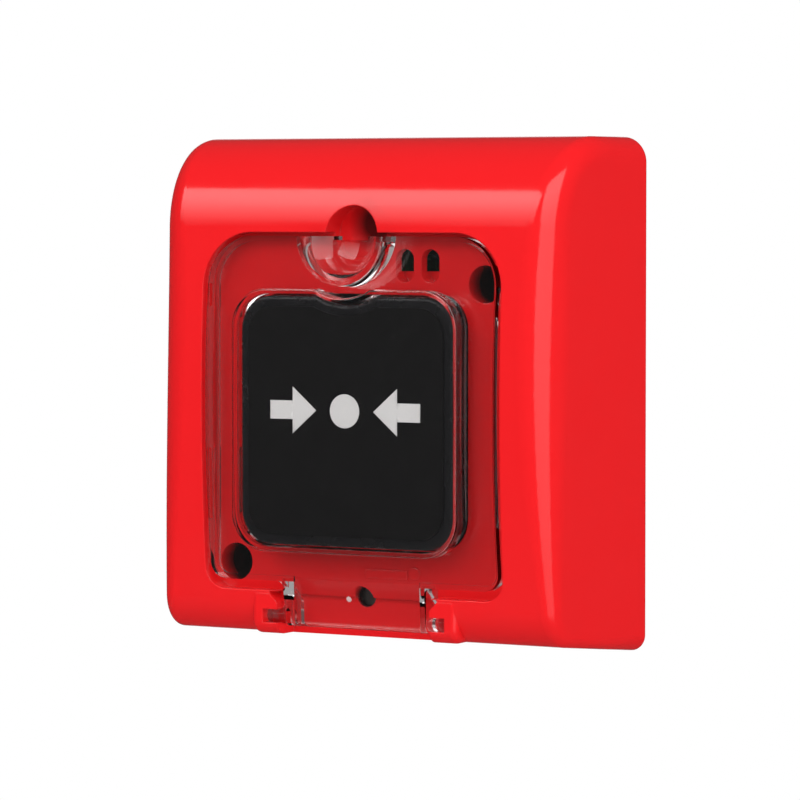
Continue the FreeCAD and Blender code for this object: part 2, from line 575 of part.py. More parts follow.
def makeHousing():
    outside = pillow("housingOutside", "0")
    inside = pillow("housingHollow", "wall")

    # the tub behind the recess, with the hinge chin, cut to the outer form where it meets it
    tub = newBody("housingTub")
    drawing = sketch(tub, "XZ", "tubOutline", "0", RECESS_MIDDLE, f"{FLOOR} - floorThick")
    roundedBox(drawing, "recessWidth + 2 * wall", f"{RECESS_HEIGHT} + 2 * wall",
               "recessCorner + wall", "recessFootCorner + wall")
    pad(tub, drawing, "recessDepth + 10")
    notchWall = rod("notchWall", "2 * (notchRadius + notchWallThick)", "notchFloor - notchWallThick",
                    "bodyDepth + 5", "0", "recessTop - notchDrop")
    tub = fuse("housingTubNotch", tub, notchWall)
    chin = newBody("housingChin")
    drawing = sketch(chin, "YZ", "chinSide")
    outline(drawing, [
        ("-(pocketFloor - floorThick)", f"-{KNUCKLE_FOOT}"),
        ("-knuckleFront + chinCurve", f"-{KNUCKLE_FOOT}"),
        ("-knuckleFront", f"-{KNUCKLE_FOOT} + chinCurve"), ("-knuckleFront", "-recessFoot - hingeTopDrop"),
        (f"-{FLOOR} + floorThick / 4", "-recessFoot - hingeTopDrop"),
        (f"-{FLOOR} + floorThick / 4", "-recessFoot + throatRise"),
        ("-(pocketFloor - floorThick)", "-recessFoot + throatRise"),
    ], {1: ("chinCurve", 1)})
    pad(chin, drawing, "2 * knuckleOuter", both=True)
    roundOff(chin, "chinSides", "chinSideCurve",
             lambda e: abs(abs(e.CenterOfMass.x) - number("knuckleOuter")) < 0.1
             and e.CenterOfMass.y < -number("knuckleFront") + 1.5)

    # behind the floor: guide collar, screw wells and the ears of the reset latch
    back = f"{FLOOR} - floorThick"
    collar = newBody("housingCollar")
    drawing = sketch(collar, "XZ", "collarOutline", "0", "-buttonDrop", "collarBack")
    roundedBox(drawing, "buttonWidth + 2 * (buttonGap + collarWall)",
               "buttonHeight + 2 * (buttonGap + collarWall)", "openingCorner + collarWall")
    pad(collar, drawing, f"{back} - collarBack")
    drawing = sketch(collar, "XY", "collarLatchGap", "0", "0", "-buttonDrop - buttonHeight / 2 - 5")
    box(drawing, "-latchWidth / 2 - earGap", "latchWidth / 2 + earGap", "-bodyDepth", "0")
    pocket(collar, drawing, "10", both=True)
    wells = [rod(f"wellTube{i}", "wellBore + 2 * wallOfWell", "wellFloorDepth - wellFloor", back, x, z)
             for i, (x, z) in enumerate(WELLS)]
    ears = []
    for side, left, right in (
        ("Left", "-latchWidth / 2 - earGap - earWall", "-latchWidth / 2 - earGap"),
        ("Right", "latchWidth / 2 + earGap", "latchWidth / 2 + earGap + earWall"),
    ):
        ear = newBody("housingEar" + side)
        drawing = sketch(ear, "YZ", "ear" + side, "0", "0", left)
        outline(drawing, [
            ("-latchPivotDepth", "-latchPivotDrop - earRadius"),
            (f"-({back})", "-latchPivotDrop - earFoot"), (f"-({back})", "-latchPivotDrop + earRadius"),
            ("-latchPivotDepth", "-latchPivotDrop + earRadius"),
        ], {3: ("earRadius", 1)})
        pad(ear, drawing, f"({right}) - ({left})")
        ears.append(ear)
    ledge = block("lampLedge", "slotInner - slotWidth", "slotInner + slotPitch + slotWidth",
                  "slotHeightAbove - slotHeight / 2 - 1", "slotHeightAbove - slotHeight / 2 + ledgeRise",
                  "ledgeBack", f"{back} + 0.1")
    solids = [cut("housingShell", outside, inside), common("housingTubFit", tub, outside),
              chin, collar, ledge, *wells, *ears]
    whole = fuse("housingWhole", *solids)

    # everything that is cut out of it
    recess = newBody("recessCut")
    drawing = sketch(recess, "XZ", "recessOutline", "0", RECESS_MIDDLE, FLOOR)
    roundedBox(drawing, "recessWidth", RECESS_HEIGHT, "recessCorner", "recessFootCorner")
    pad(recess, drawing, "recessDepth + 10")
    opening = newBody("buttonOpening")
    drawing = sketch(opening, "XZ", "openingOutline", "0", "-buttonDrop", "collarBack - 1")
    roundedBox(drawing, "buttonWidth + 2 * buttonGap", "buttonHeight + 2 * buttonGap",
               "openingCorner")
    pad(opening, drawing, "recessDepth + 10")
    slots = newBody("indicatorSlots")
    drawing = sketch(slots, "XZ", "slotOutlines", "0", "slotHeightAbove", f"{back} - 1")
    for i in range(2):
        roundedBox(drawing, "slotWidth", "slotHeight", "slotWidth / 2.02",
                   across=f"slotInner + {i} * slotPitch")
    pad(slots, drawing, "floorThick + 2")
    notch = rod("fingerNotch", "2 * notchRadius", "notchFloor", LONG, "0", "recessTop - notchDrop")
    pocketCut = block("hingePocket", "-tongueHalf - pocketGap", "tongueHalf + pocketGap",
                      "-bodyHeight / 2 - 5", "-recessFoot - hingeTopDrop", "pocketFloor", LONG)
    throat = newBody("hingeThroat")
    drawing = sketch(throat, "YZ", "throatSide")
    high, low, side = "-recessFoot + throatRise", "-recessFoot - throatDrop", "(tongueHalf + pocketGap)"
    outline(drawing, [(f"-{FLOOR}", high), ("-pocketFloor", low), (f"-{LONG}", low), (f"-{LONG}", high)])
    pad(throat, drawing, f"2 * {side}", both=True)
    corners = newBody("knuckleCorners")
    drawing = sketch(corners, "XZ", "knuckleCornerOutlines", "0", "-recessFoot - hingeTopDrop", FLOOR)
    for way in ("", "-"):
        outline(drawing, [
            (f"{way}({side} - 0.5)", "0.5"), (f"{way}({side} - 0.5)", "-knuckleCorner"),
            (f"{way}{side}", "-knuckleCorner"), (f"{way}({side} + knuckleCorner)", "0"),
            (f"{way}({side} + knuckleCorner)", "0.5"),
        ])
    pad(corners, drawing, "recessDepth + 10")
    reset = rod("resetHole", "resetBore", "pocketFloor - floorThick - 1", LONG, "0", "-resetDrop")
    bores = []
    for i, (x, z) in enumerate(WELLS):
        bores.append(rod(f"well{i}", "wellBore", "wellFloorDepth", LONG, x, z))
        bores.append(rod(f"wellHole{i}", "mainScrew + 2 * wellHoleGap", "0", LONG, x, z))
    bearings = []
    for side, left, right in (
        ("Left", "-tongueHalf - pinReach - pinEndGap", "-tongueHalf"),
        ("Right", "tongueHalf", "tongueHalf + pinReach + pinEndGap"),
    ):
        bearings.append(axle("pinBore" + side, "hingePin + 2 * pinFit", left, right,
                             "hingeDepth", f"-{HINGE_DROP}"))
        bearings.append(block("pinMouth" + side, left, right, f"-{HINGE_DROP} - snapMouth / 2",
                              f"-{HINGE_DROP} + snapMouth / 2", "hingeDepth", LONG))
    latchBore = axle("latchBore", "latchPin + 2 * screwFit", "-latchWidth", "latchWidth",
                     "latchPivotDepth", "-latchPivotDrop")
    shell = cut("housingCut", whole, recess, opening, slots, notch, pocketCut, throat, corners, reset,
                *bores, *bearings, latchBore)
    keep("housing", shell)

# ---------------------------------------------------------------- cover

DOME_WIDTH = "(buttonWidth + 2 * (coverOverButton + domeWall))"
DOME_HEIGHT = "(buttonHeight + 2 * (coverOverButton + domeWall))"
COVER_WIDTH = "(recessWidth - 2 * coverGap)"
COVER_TOP = "(recessTop - coverTopGap)"
COVER_FOOT = "(recessFoot - coverFootGap)"


def cushion(name, inset, back, front, edge=None):
    """A rounded square about the button, with a dip in its top edge that follows the scoop.

    inset is measured from the outside of the dome, so dome, button and label share one form.
    """
    body = newBody(name)
    drawing = sketch(body, "XZ", name + "Outline", "0", "-buttonDrop", back)
    roundedBox(drawing, f"{DOME_WIDTH} - 2 * ({inset})", f"{DOME_HEIGHT} - 2 * ({inset})",
               f"domeCorner - ({inset}) * 0.6")
    pad(body, drawing, f"({front}) - ({back})")
    dip = sketch(body, "XZ", name + "Dip", "0", COVER_TOP, front)
    circle(dip, f"2 * (dipRadius + ({inset}))")
    pocket(body, dip, f"({front}) - ({back})")
    high = number(f"-buttonDrop + {DOME_HEIGHT} / 2 - ({inset})")
    roundOff(body, name + "DipEnds", "dipBlend",
             lambda e: e.BoundBox.ZLength < 0.01 and e.BoundBox.XLength < 0.01
             and abs(e.CenterOfMass.z - high) < 0.01 and abs(e.CenterOfMass.x) < number("scoopRadius"))
    if edge:
        roundOff(body, name + "Edge", edge,
                 lambda e: e.CenterOfMass.y < -number(front) + 0.01)
    return body


def makeCover():
    """The clear cover: a bowed plate with a hollow dome, a thumb scoop and a hinge tongue."""
    inner = "(coverDepth - coverThick)"
    innerBow = "(coverBow - coverThick)"
    outerFoot = bowDepth("coverDepth", "coverBow", "-" + COVER_FOOT)
    innerFoot = bowDepth(inner, innerBow, "-" + COVER_FOOT)
    body = newBody("coverBody")
    side = sketch(body, "YZ", "coverSide")
    outline(side, [
        ("-skirtBack", f"-{COVER_FOOT}"), (f"-{outerFoot}", f"-{COVER_FOOT}"),
        (f"-{bowDepth('coverDepth', 'coverBow', COVER_TOP)}", COVER_TOP), ("-skirtBack", COVER_TOP),
    ], {1: ("coverBow", 1)})
    pad(body, side, COVER_WIDTH, both=True)
    corner = lambda up: lambda e: (
        e.BoundBox.YLength > 1.5 and e.BoundBox.XLength < 0.1 and e.BoundBox.ZLength < 1
        and e.CenterOfMass.z * up > 0)
    roundOff(body, "coverTopCorners", "coverCorner", corner(1))
    roundOff(body, "coverFootCorners", "coverFootCorner", corner(-1))

    # tongue: the plate's front carried down to the hinge, with two cheeks that bear the pins
    tongueSide = sketch(body, "YZ", "tongueSide")
    outline(tongueSide, [
        ("-cheekBack", f"-{TONGUE_FOOT} + tongueCurve"),
        ("-cheekBack - tongueCurve", f"-{TONGUE_FOOT}"),
        ("-tongueFront + tongueNose", f"-{TONGUE_FOOT}"),
        ("-tongueFront", f"-{TONGUE_FOOT} + tongueNose"),
        (f"-{outerFoot}", f"-{COVER_FOOT}"),
        (f"-{innerFoot}", f"-{COVER_FOOT}"),
        ("-cheekBack", f"-{HINGE_DROP} + hingePin"),
    ], {0: ("tongueCurve", 1), 2: ("tongueNose", 1)})
    pad(body, tongueSide, "2 * tongueHalf", both=True)
    roundOff(body, "tongueRoots", "tongueRootCurve", lambda e: (
        e.BoundBox.XLength < 0.1 and e.BoundBox.ZLength < 0.3 and e.BoundBox.YLength > 0.5
        and abs(abs(e.CenterOfMass.x) - number("tongueHalf")) < 0.1
        and abs(e.CenterOfMass.z + number(COVER_FOOT)) < 0.5))
    hollow = sketch(body, "XZ", "tongueHollow", "0", "0", innerFoot)
    box(hollow, "-tongueHalf + cheek", "tongueHalf - cheek",
        f"-{TONGUE_FOOT} - 1", f"-{COVER_FOOT} + skirtThick")
    pocket(body, hollow, "10")
    for way, start in (("Left", "-tongueHalf - pinReach"), ("Right", "tongueHalf - cheek / 2")):
        pins = sketch(body, "YZ", "hingePin" + way, "0", "0", start)
        circle(pins, "hingePin", "-hingeDepth", f"-{HINGE_DROP}")
        pad(body, pins, "pinReach + cheek / 2")

    # the plate is hollowed from behind, and its skirt stays
    form = newBody("coverInside")
    side = sketch(form, "YZ", "coverInsideSide")
    low, high = f"(-{COVER_FOOT} - 1)", f"({COVER_TOP} + 1)"
    outline(side, [
        ("-skirtBack + 1", low), (f"-{bowDepth(inner, innerBow, low)}", low),
        (f"-{bowDepth(inner, innerBow, high)}", high), ("-skirtBack + 1", high),
    ], {1: (innerBow, 1)})
    pad(form, side, COVER_WIDTH, both=True)
    plan = newBody("coverInsidePlan")
    drawing = sketch(plan, "XZ", "coverInsideOutline",
                     "0", f"({COVER_TOP} - {COVER_FOOT}) / 2", "skirtBack - 2")
    roundedBox(drawing, f"{COVER_WIDTH} - 2 * skirtThick",
               f"{COVER_TOP} + {COVER_FOOT} - 2 * skirtThick",
               "coverCorner - skirtThick", "coverFootCorner - skirtThick")
    pad(plan, drawing, "coverDepth")
    hollow = common("coverHollow", form, plan)
    nibs = [
        block("snapNib" + at, f"-{COVER_WIDTH} / 2 - nibOut", f"{COVER_WIDTH} / 2 + nibOut",
              low, high, "skirtBack + nibThick", "skirtBack + 2 * nibThick")
        for at, low, high in (("Top", "nibTop", "nibTop + nibShort"),
                              ("Foot", "-nibFoot", "-nibFoot + nibLong"))
    ]
    plate = cut("coverPlate", fuse("coverRim", body, *nibs), hollow)

    # thumb scoop: a half round lip with a dished hollow
    scoop = newBody("scoopBody")
    drawing = sketch(scoop, "XZ", "scoopOutline", "0", COVER_TOP, f"{inner} - 1")
    circle(drawing, "2 * scoopRadius")
    pad(scoop, drawing, f"scoopFront - {inner} + 1", taper="-scoopTaper")
    roundOff(scoop, "scoopRim", "scoopLip",
             lambda e: e.CenterOfMass.y < -number("scoopFront") + 0.01)
    dish = doc.addObject("Part::Sphere", "scoopHollow")
    bind(dish, "Radius", "scoopDish")
    bind(dish, "Placement.Base.y", "-scoopCentre")
    bind(dish, "Placement.Base.z", COVER_TOP)
    above = block("scoopTrim", "-scoopRadius - 1", "scoopRadius + 1", COVER_TOP,
                  f"{COVER_TOP} + scoopRadius + 1", "coverDepth - coverThick - 5", LONG)
    nick = block("coverNick", "-nickHalf", "nickHalf", f"{COVER_TOP} - nickDeep", f"{COVER_TOP} + 1",
                 "coverDepth - coverThick - 5", "coverDepth")
    dome = cushion("domeOutside", 0, "coverDepth - coverThick - 1", "domeFront", edge="domeEdge")
    inside = cushion("domeInside", "domeWall", "coverDepth - 20", "domeFront - domeRoof")
    whole = fuse("coverWhole", plate, scoop, dome)
    keep("clear_cover", cut("coverCut", whole, inside, dish, nick, above))


# ---------------------------------------------------------------- push button

BUTTON_INSET = "(coverOverButton + domeWall)"
LATCH_NOSE = "(latchPivotDepth + noseAhead)"
HOOK = ("-buttonDrop - hookWidth / 2", "-buttonDrop + hookWidth / 2",
        "buttonSkirt", "collarBack - hookGap")

def makeButton():
    """A square cap with a skirt, two retaining hooks, spring seats and a central ram."""
    outer = cushion("buttonOutside", BUTTON_INSET, "buttonSkirt", "buttonFront", edge="buttonEdge")
    inner = cushion("buttonHollow", BUTTON_INSET + " + buttonWall", "buttonSkirt - 5",
                    "buttonFront - buttonWall")
    shell = cut("buttonShell", outer, inner)
    roof = "buttonFront - buttonWall"
    details = []
    for side, way in (("Left", "-"), ("Right", "")):
        place = (f"{way}{SPRING_SIDE}", "-buttonDrop")
        details.append(rod("springSeat" + side, "springMean + springWire + 0.8", "springSeat", roof, *place))
        details.append(rod("springPost" + side, "springMean - springWire - 2 * springPlay",
                           "springPost", roof, *place))
    ram = block("buttonRam", "ramPlace - ramSize / 2", "ramPlace + ramSize / 2",
                "-buttonDrop - ramSize / 2", "-buttonDrop + ramSize / 2", "ramEnd", roof)
    ribs = [
        block("buttonRibAcross", "-buttonWidth / 2 + 1", "buttonWidth / 2 - 1",
              "-buttonDrop - ribWall / 2", "-buttonDrop + ribWall / 2", f"{roof} - ribDeep", roof),
        block("buttonRibUp", "-ribWall / 2", "ribWall / 2", "-buttonDrop - buttonHeight / 2 + 1",
              f"{COVER_TOP} - dipRadius - {BUTTON_INSET} - 1", f"{roof} - ribDeep", roof),
    ]
    hooks = [
        block("hookLeft", "-buttonWidth / 2 - hookReach", "-buttonWidth / 2 + 0.5", *HOOK),
        block("hookRight", "buttonWidth / 2 - 0.5", "buttonWidth / 2 + hookReach", *HOOK),
    ]
    window = block("latchWindow", "-latchWidth / 2 - latchGap", "latchWidth / 2 + latchGap",
                   "-buttonDrop - buttonHeight / 2 - 1", "-buttonDrop - buttonHeight / 2 + buttonWall + 1",
                   f"{LATCH_NOSE} + buttonTravel - latchGap", f"{LATCH_NOSE} + buttonTravel + latchWindow")
    whole = fuse("buttonWhole", shell, *details, ram, *ribs, *hooks)
    keep("push_button", cut("buttonCut", whole, window))


def makeLabel():
    """The sticker on the button's face, inside its rounded edge."""
    keep("button_label", cushion("labelBody", BUTTON_INSET + " + labelInset", "buttonFront",
                                 "buttonFront + labelThick"))


# ---------------------------------------------------------------- reset latch

def makeLatch():
    """A bell crank: its nose waits under the button, its pad lies behind the reset hole."""
    body = newBody("latchBody")
    drawing = sketch(body, "YZ", "latchSide")
    noseTop = "(-buttonDrop - buttonHeight / 2 - latchGap)"
    pivot = "-latchPivotDrop"
    outline(drawing, [
        ("-latchPivotDepth + latchArm", f"{pivot}"),
        ("-latchPivotDepth + latchArm / 2", f"{pivot} - latchArm"),
        ("-padFront + noseThick", "-resetDrop + padHeight / 2"),
        ("-padFront + noseThick", "-resetDrop - padHeight / 2"),
        ("-padFront", "-resetDrop - padHeight / 2"),
        ("-padFront", "-resetDrop + padHeight / 2"),
        ("-latchPivotDepth - latchArm", f"{pivot} - latchArm / 2"),
        (f"-{LATCH_NOSE} - noseThick", f"{noseTop} - noseThick"),
        (f"-{LATCH_NOSE} - noseThick", f"{noseTop} - noseThick / 2"),
        (f"-{LATCH_NOSE}", noseTop),
        (f"-{LATCH_NOSE}", f"{noseTop} - noseThick / 2"),
        ("-latchPivotDepth", f"{pivot} + latchArm"),
    ])
    pad(body, drawing, "latchWidth", both=True)
    bore = sketch(body, "YZ", "latchBoreCircle")
    circle(bore, "latchPin + 2 * latchFit", "-latchPivotDepth", pivot)
    pocket(body, bore, "2 * latchWidth", both=True)
    keep("reset_latch", body)
    half = "latchWidth / 2 + earGap + earWall"
    keep("latch_pin", axle("latchPinRod", "latchPin", "-(" + half + ")", half,
                           "latchPivotDepth", pivot))


# ---------------------------------------------------------------- springs

def makeSpring(name, mean, wire, turns, back, front, across, up):
    """A compression spring between two depths, its ends a wire's radius inside them."""
    body = newBody(name + "Body")
    section = sketch(body, "XY", name + "Section")
    flat = f"({wire}) / 2"
    slant = f"({wire}) / 4"
    middle = f"({mean}) / 2"
    outline(section, [(f"{middle} - {flat}", "0"), (f"{middle} - {slant}", f"-{flat}"),
                      (f"{middle} + {slant}", f"-{flat}"), (f"{middle} + {flat}", "0"),
                      (f"{middle} + {slant}", flat), (f"{middle} - {slant}", flat)])
    coil = body.newObject("PartDesign::AdditiveHelix", name + "Coil")
    coil.Profile = section
    coil.ReferenceAxis = (section, ["V_Axis"])
    coil.Mode = "height-turns-angle"
    coil.Reversed = True
    bind(coil, "Height", f"({front}) - ({back}) - ({wire})")
    bind(coil, "Turns", turns)
    bind(body, "Placement.Base.x", across)
    bind(body, "Placement.Base.y", f"-(({back}) + ({wire}) / 2)")
    bind(body, "Placement.Base.z", up)
    keep(name, body)


def makeSprings():
    board = "boardBack + boardThick"
    for side, way in (("left", "-"), ("right", "")):
        makeSpring("return_spring_" + side, "springMean", "springWire", "springTurns",
                   board, "springSeat", f"{way}{SPRING_SIDE}", "-buttonDrop")
    makeSpring("latch_spring", "latchSpringMean", "latchSpringWire", "latchSpringTurns",
               "latchPost", "padFront - noseThick", "0", "-resetDrop")


# ---------------------------------------------------------------- wall plate

def makePlate():
    body = newBody("plateBody")
    outside = sketch(body, "XZ", "plateOutline")
    width = "(bodyWidth - 2 * (wall + plateGap + sideDraft * plateThick / bodyDepth))"
    height = "(bodyHeight - 2 * (wall + plateGap + underRise * plateThick / bodyDepth))"
    roundedBox(outside, width, height, "plateCorner")
    pad(body, outside, "rimHeight")
    inside = sketch(body, "XZ", "plateInside", "0", "0", "rimHeight")
    roundedBox(inside, width + " - 2 * (rimSet + rimWall)", height + " - 2 * (rimSet + rimWall)",
               "plateCorner - rimWall / 2")
    pocket(body, inside, "rimHeight - plateThick")
    edge = sketch(body, "XZ", "rimOutside", "0", "0", "rimHeight")
    roundedBox(edge, width + " + 4", height + " + 4", "plateCorner")
    roundedBox(edge, width + " - 2 * rimSet", height + " - 2 * rimSet", "plateCorner")
    pocket(body, edge, "rimHeight - plateThick")
    holes = sketch(body, "XZ", "plateHoles", "0", "0", "rimHeight")
    for way in ("-", ""):
        circle(holes, "fixingBore", f"{way}fixingSpacing / 2", "0")
    roundedBox(holes, "entryWidth", "entryHeight", "entryHeight / 2.02", up="entryAbove")
    pocket(body, holes, "rimHeight")
    posts = [rod(f"platePost{i}", "2 * postRadius", "plateThick", "boardBack", *place)
             for i, place in enumerate(BOARD_SCREWS)]
    posts += [rod(f"mainPost{i}", "2 * mainPost", "plateThick", "wellFloorDepth - wellFloor", *place)
              for i, place in enumerate(WELLS)]
    posts.append(rod("latchSpringPost", "latchSpringMean + latchSpringWire + 1", "plateThick",
                     "latchPost", "0", "-resetDrop"))
    pilots = [rod(f"platePilot{i}", "boardScrew + 2 * screwFit", "boardScrewEnd - 0.4", LONG, *place)
              for i, place in enumerate(BOARD_SCREWS)]
    pilots += [rod(f"mainPilot{i}", "mainScrew + 2 * screwFit", "mainScrewEnd - 0.4", LONG, *place)
               for i, place in enumerate(WELLS)]
    keep("wall_plate", cut("plateCut", fuse("plateWhole", body, *posts), *pilots))


def makeScrews():
    """Pan head screws: two through the wells into the wall plate, four for the board."""
    mains = []
    for i, place in enumerate(WELLS):
        mains.append(screw(f"mainScrew{i}", "mainScrew", "mainScrewEnd", "wellFloorDepth", "mainHead",
                           "mainHeadHeight", place))
    keep("housing_screws", group("housingScrewSet", mains))
    boards = []
    for i, place in enumerate(BOARD_SCREWS):
        boards.append(screw(f"boardScrew{i}", "boardScrew", "boardScrewEnd", "boardBack + boardThick",
                            "boardHead", "boardHeadHeight", place))
    keep("board_screws", group("boardScrewSet", boards))


def screw(name, shank, end, seat, head, tall, place):
    """A turned screw with a cross recess, its shank from one depth up to the seat of its head."""
    body = newBody(name)
    half = sketch(body, "XY", name + "Half")
    outline(half, [
        ("0", f"-({end})"), (f"({shank}) / 2 - 0.4", f"-({end})"), (f"({shank}) / 2", f"-({end}) - 0.6"),
        (f"({shank}) / 2", f"-({seat})"), (f"({head}) / 2", f"-({seat})"),
        (f"({head}) / 2", f"-({seat}) - ({tall}) * 0.4"), ("0", f"-({seat}) - ({tall})"),
    ], {5: (f"({head}) * 0.62", -1)})
    spin(body, half)
    cross = sketch(body, "XZ", name + "Cross", "0", "0", f"({seat}) + ({tall})")
    wide, thin = f"({head}) * 0.27", f"({head}) * 0.075"
    outline(cross, [
        (f"-{thin}", f"-{wide}"), (thin, f"-{wide}"), (thin, f"-{thin}"), (wide, f"-{thin}"),
        (wide, thin), (thin, thin), (thin, wide), (f"-{thin}", wide), (f"-{thin}", thin),
        (f"-{wide}", thin), (f"-{wide}", f"-{thin}"), (f"-{thin}", f"-{thin}"),
    ])
    pocket(body, cross, f"({tall}) * 0.6")
    bind(body, "Placement.Base.x", place[0])
    bind(body, "Placement.Base.z", place[1])
    return body


def spin(body, half):
    """Turn half an outline once round the sketch's upright axis."""
    turned = body.newObject("PartDesign::Revolution", half.Name + "Turned")
    turned.Profile = half
    turned.ReferenceAxis = (half, ["V_Axis"])
    turned.Angle = 360
    half.Visibility = False


def group(name, bodies):
    """Separate like solids that share one sub-part."""
    doc.recompute()
    together = doc.addObject("Part::Compound", name)
    together.Links = bodies
    return together


# ---------------------------------------------------------------- circuit board and what it carries

BOARD_SCREWS = [("-boardWidth / 2 + boardHoleSet", "boardTop - boardHoleSet"),
                ("boardWidth / 2 - boardHoleSet", "boardTop - boardHoleDrop"),
                ("-boardWidth / 2 + boardHoleSet", "-boardFoot + boardHoleSet"),
                ("boardWidth / 2 - boardHoleSet", "-boardFoot + boardHoleSet")]
BOARD = "(boardBack + boardThick)"


def makeBoard():
    body = newBody("boardBody")
    drawing = sketch(body, "XZ", "boardOutline", "0", "(boardTop - boardFoot) / 2", "boardBack")
    roundedBox(drawing, "boardWidth", "boardTop + boardFoot", "1.5")
    pad(body, drawing, "boardThick")
    holes = sketch(body, "XZ", "boardHoles", "0", "0", BOARD)
    for x, z in BOARD_SCREWS:
        circle(holes, "boardScrew + 0.4", x, z)
    pocket(body, holes, "boardThick + 1")
    keep("circuit_board", body)


def makeTerminals():
    """A five way terminal block along the board's upper edge, with its clamp screws."""
    back, front = BOARD, f"({BOARD} + terminalTall)"
    low, high = "(boardTop - terminalInset - terminalDeep)", "(boardTop - terminalInset)"
    left = "(terminalLeft)"
    body = newBody("terminalBody")
    side = sketch(body, "YZ", "terminalSide", "0", "0", left)
    outline(side, [(f"-{back}", low), (f"-{back}", high), (f"-{back} - terminalStep", high),
                   (f"-{front}", f"{high} - terminalSlope"), (f"-{front}", f"{low} + terminalSlope * 0.75"),
                   (f"-{back} - terminalStep", low)])
    pad(body, side, "terminalWays * terminalPitch")
    wires = sketch(body, "XY", "wireMouths", "0", "0", high)
    screws = sketch(body, "XZ", "terminalWells", "0", "0", front)
    heads = []
    for i in range(int(number("terminalWays"))):
        middle = f"({left} + ({i} + 0.5) * terminalPitch)"
        box(wires, f"{middle} - wireMouth / 2", f"{middle} + wireMouth / 2",
            f"-{back} - wireFloor - wireTall", f"-{back} - wireFloor")
        circle(screws, "terminalScrew + 0.5", middle, TERMINAL_LINE)
        head = newBody(f"terminalScrew{i}")
        disc = sketch(head, "XZ", f"terminalDisc{i}", "0", "0", f"{front} - terminalSunk")
        circle(disc, "terminalScrew", middle, TERMINAL_LINE)
        pad(head, disc, "terminalHead")
        slit = sketch(head, "XZ", f"terminalSlit{i}", "0", "0", f"{front} - terminalSunk + terminalHead")
        box(slit, f"{middle} - terminalSlit / 2", f"{middle} + terminalSlit / 2",
            f"{TERMINAL_LINE} - terminalScrew", f"{TERMINAL_LINE} + terminalScrew")
        pocket(head, slit, "terminalHead * 0.45")
        heads.append(head)
    pocket(body, wires, "wireDeep")
    pocket(body, screws, "terminalSunk")
    keep("terminal_block", body)
    keep("terminal_screws", group("terminalScrewSet", heads))


TERMINAL_LINE = "(boardTop - terminalInset - terminalDeep / 2 - 0.3)"


def makeSwitch():
    """A lever microswitch: body with hinge ears, plunger and sprung lever."""
    middle = "-buttonDrop"
    top = f"({BOARD} + switchTall)"
    left = "(ramPlace - leverReach - leverInset)"
    case = block("switchCase", left, f"{left} + switchLong", f"{middle} - switchDeep / 2",
                 f"{middle} + switchDeep / 2", BOARD, top)
    ears = []
    for side, low, high in (("Low", f"{middle} - switchDeep / 2", f"{middle} - leverWidth / 2 - 0.2"),
                            ("High", f"{middle} + leverWidth / 2 + 0.2", f"{middle} + switchDeep / 2")):
        ears.append(block("switchEar" + side, left, f"{left} + 2 * leverInset", low, high, f"{top} - 1",
                          f"{top} + leverLift + earAbove"))
    plungerWell = rod("plungerWell", "plungerSize + 0.2", f"{top} - 3", LONG,
                      f"{left} + leverInset + plungerPlace", middle)
    pinHole = post("leverPinHole", "leverPin + 2 * leverFit", f"{middle} - switchDeep",
                   f"{middle} + switchDeep", f"{left} + leverInset", f"{top} + leverLift")
    keep("microswitch", cut("switchCut", fuse("switchWhole", case, *ears), plungerWell, pinHole))
    keep("switch_plunger", rod("plungerRod", "plungerSize", f"{top} - 2", f"{top} + plungerOut",
                               f"{left} + leverInset + plungerPlace", middle))
    lever = newBody("leverBody")
    side = sketch(lever, "XY", "leverSide", "0", "0", middle)
    pivot = (f"{left} + leverInset", f"-({top} + leverLift)")
    tip = ("ramPlace + leverInset", f"-({top} + leverLift + leverRise)")
    outline(side, [
        (pivot[0], f"{pivot[1]} + leverThick / 2"),
        (tip[0], f"{tip[1]} + leverThick / 2"), (tip[0], f"{tip[1]} - leverThick / 2"),
        (pivot[0], f"{pivot[1]} - leverThick / 2"),
    ])
    pad(lever, side, "leverWidth", both=True)
    hinge = sketch(lever, "XY", "leverHinge", "0", "0", middle)
    circle(hinge, "leverPin", *pivot)
    pad(lever, hinge, "switchDeep", both=True)
    keep("switch_lever", lever)


def makeLamps():
    """Two indicator lamps behind the slots, each standing on a spacer."""
    spacers = []
    for i, name in enumerate(("status_lamp", "alarm_lamp")):
        place = (f"slotInner + {i} * slotPitch", "slotHeightAbove")
        post = f"({BOARD} + spacerTall)"
        spacers.append(rod(f"lampSpacer{i}", "lampFlange", BOARD, post, *place))
        flange = rod(f"lampFlange{i}", "lampFlange", post, f"{post} + 1", *place)
        stem = rod(f"lampStem{i}", "lampSize", post, f"{post} + lampTall - lampSize / 2", *place)
        top = doc.addObject("Part::Sphere", f"lampTop{i}")
        bind(top, "Radius", "lampSize / 2")
        bind(top, "Placement.Base.x", place[0])
        bind(top, "Placement.Base.y", f"-({post} + lampTall - lampSize / 2)")
        bind(top, "Placement.Base.z", place[1])
        keep(name, fuse(f"lamp{i}", flange, stem, top))
    keep("lamp_spacers", group("lampSpacerSet", spacers))


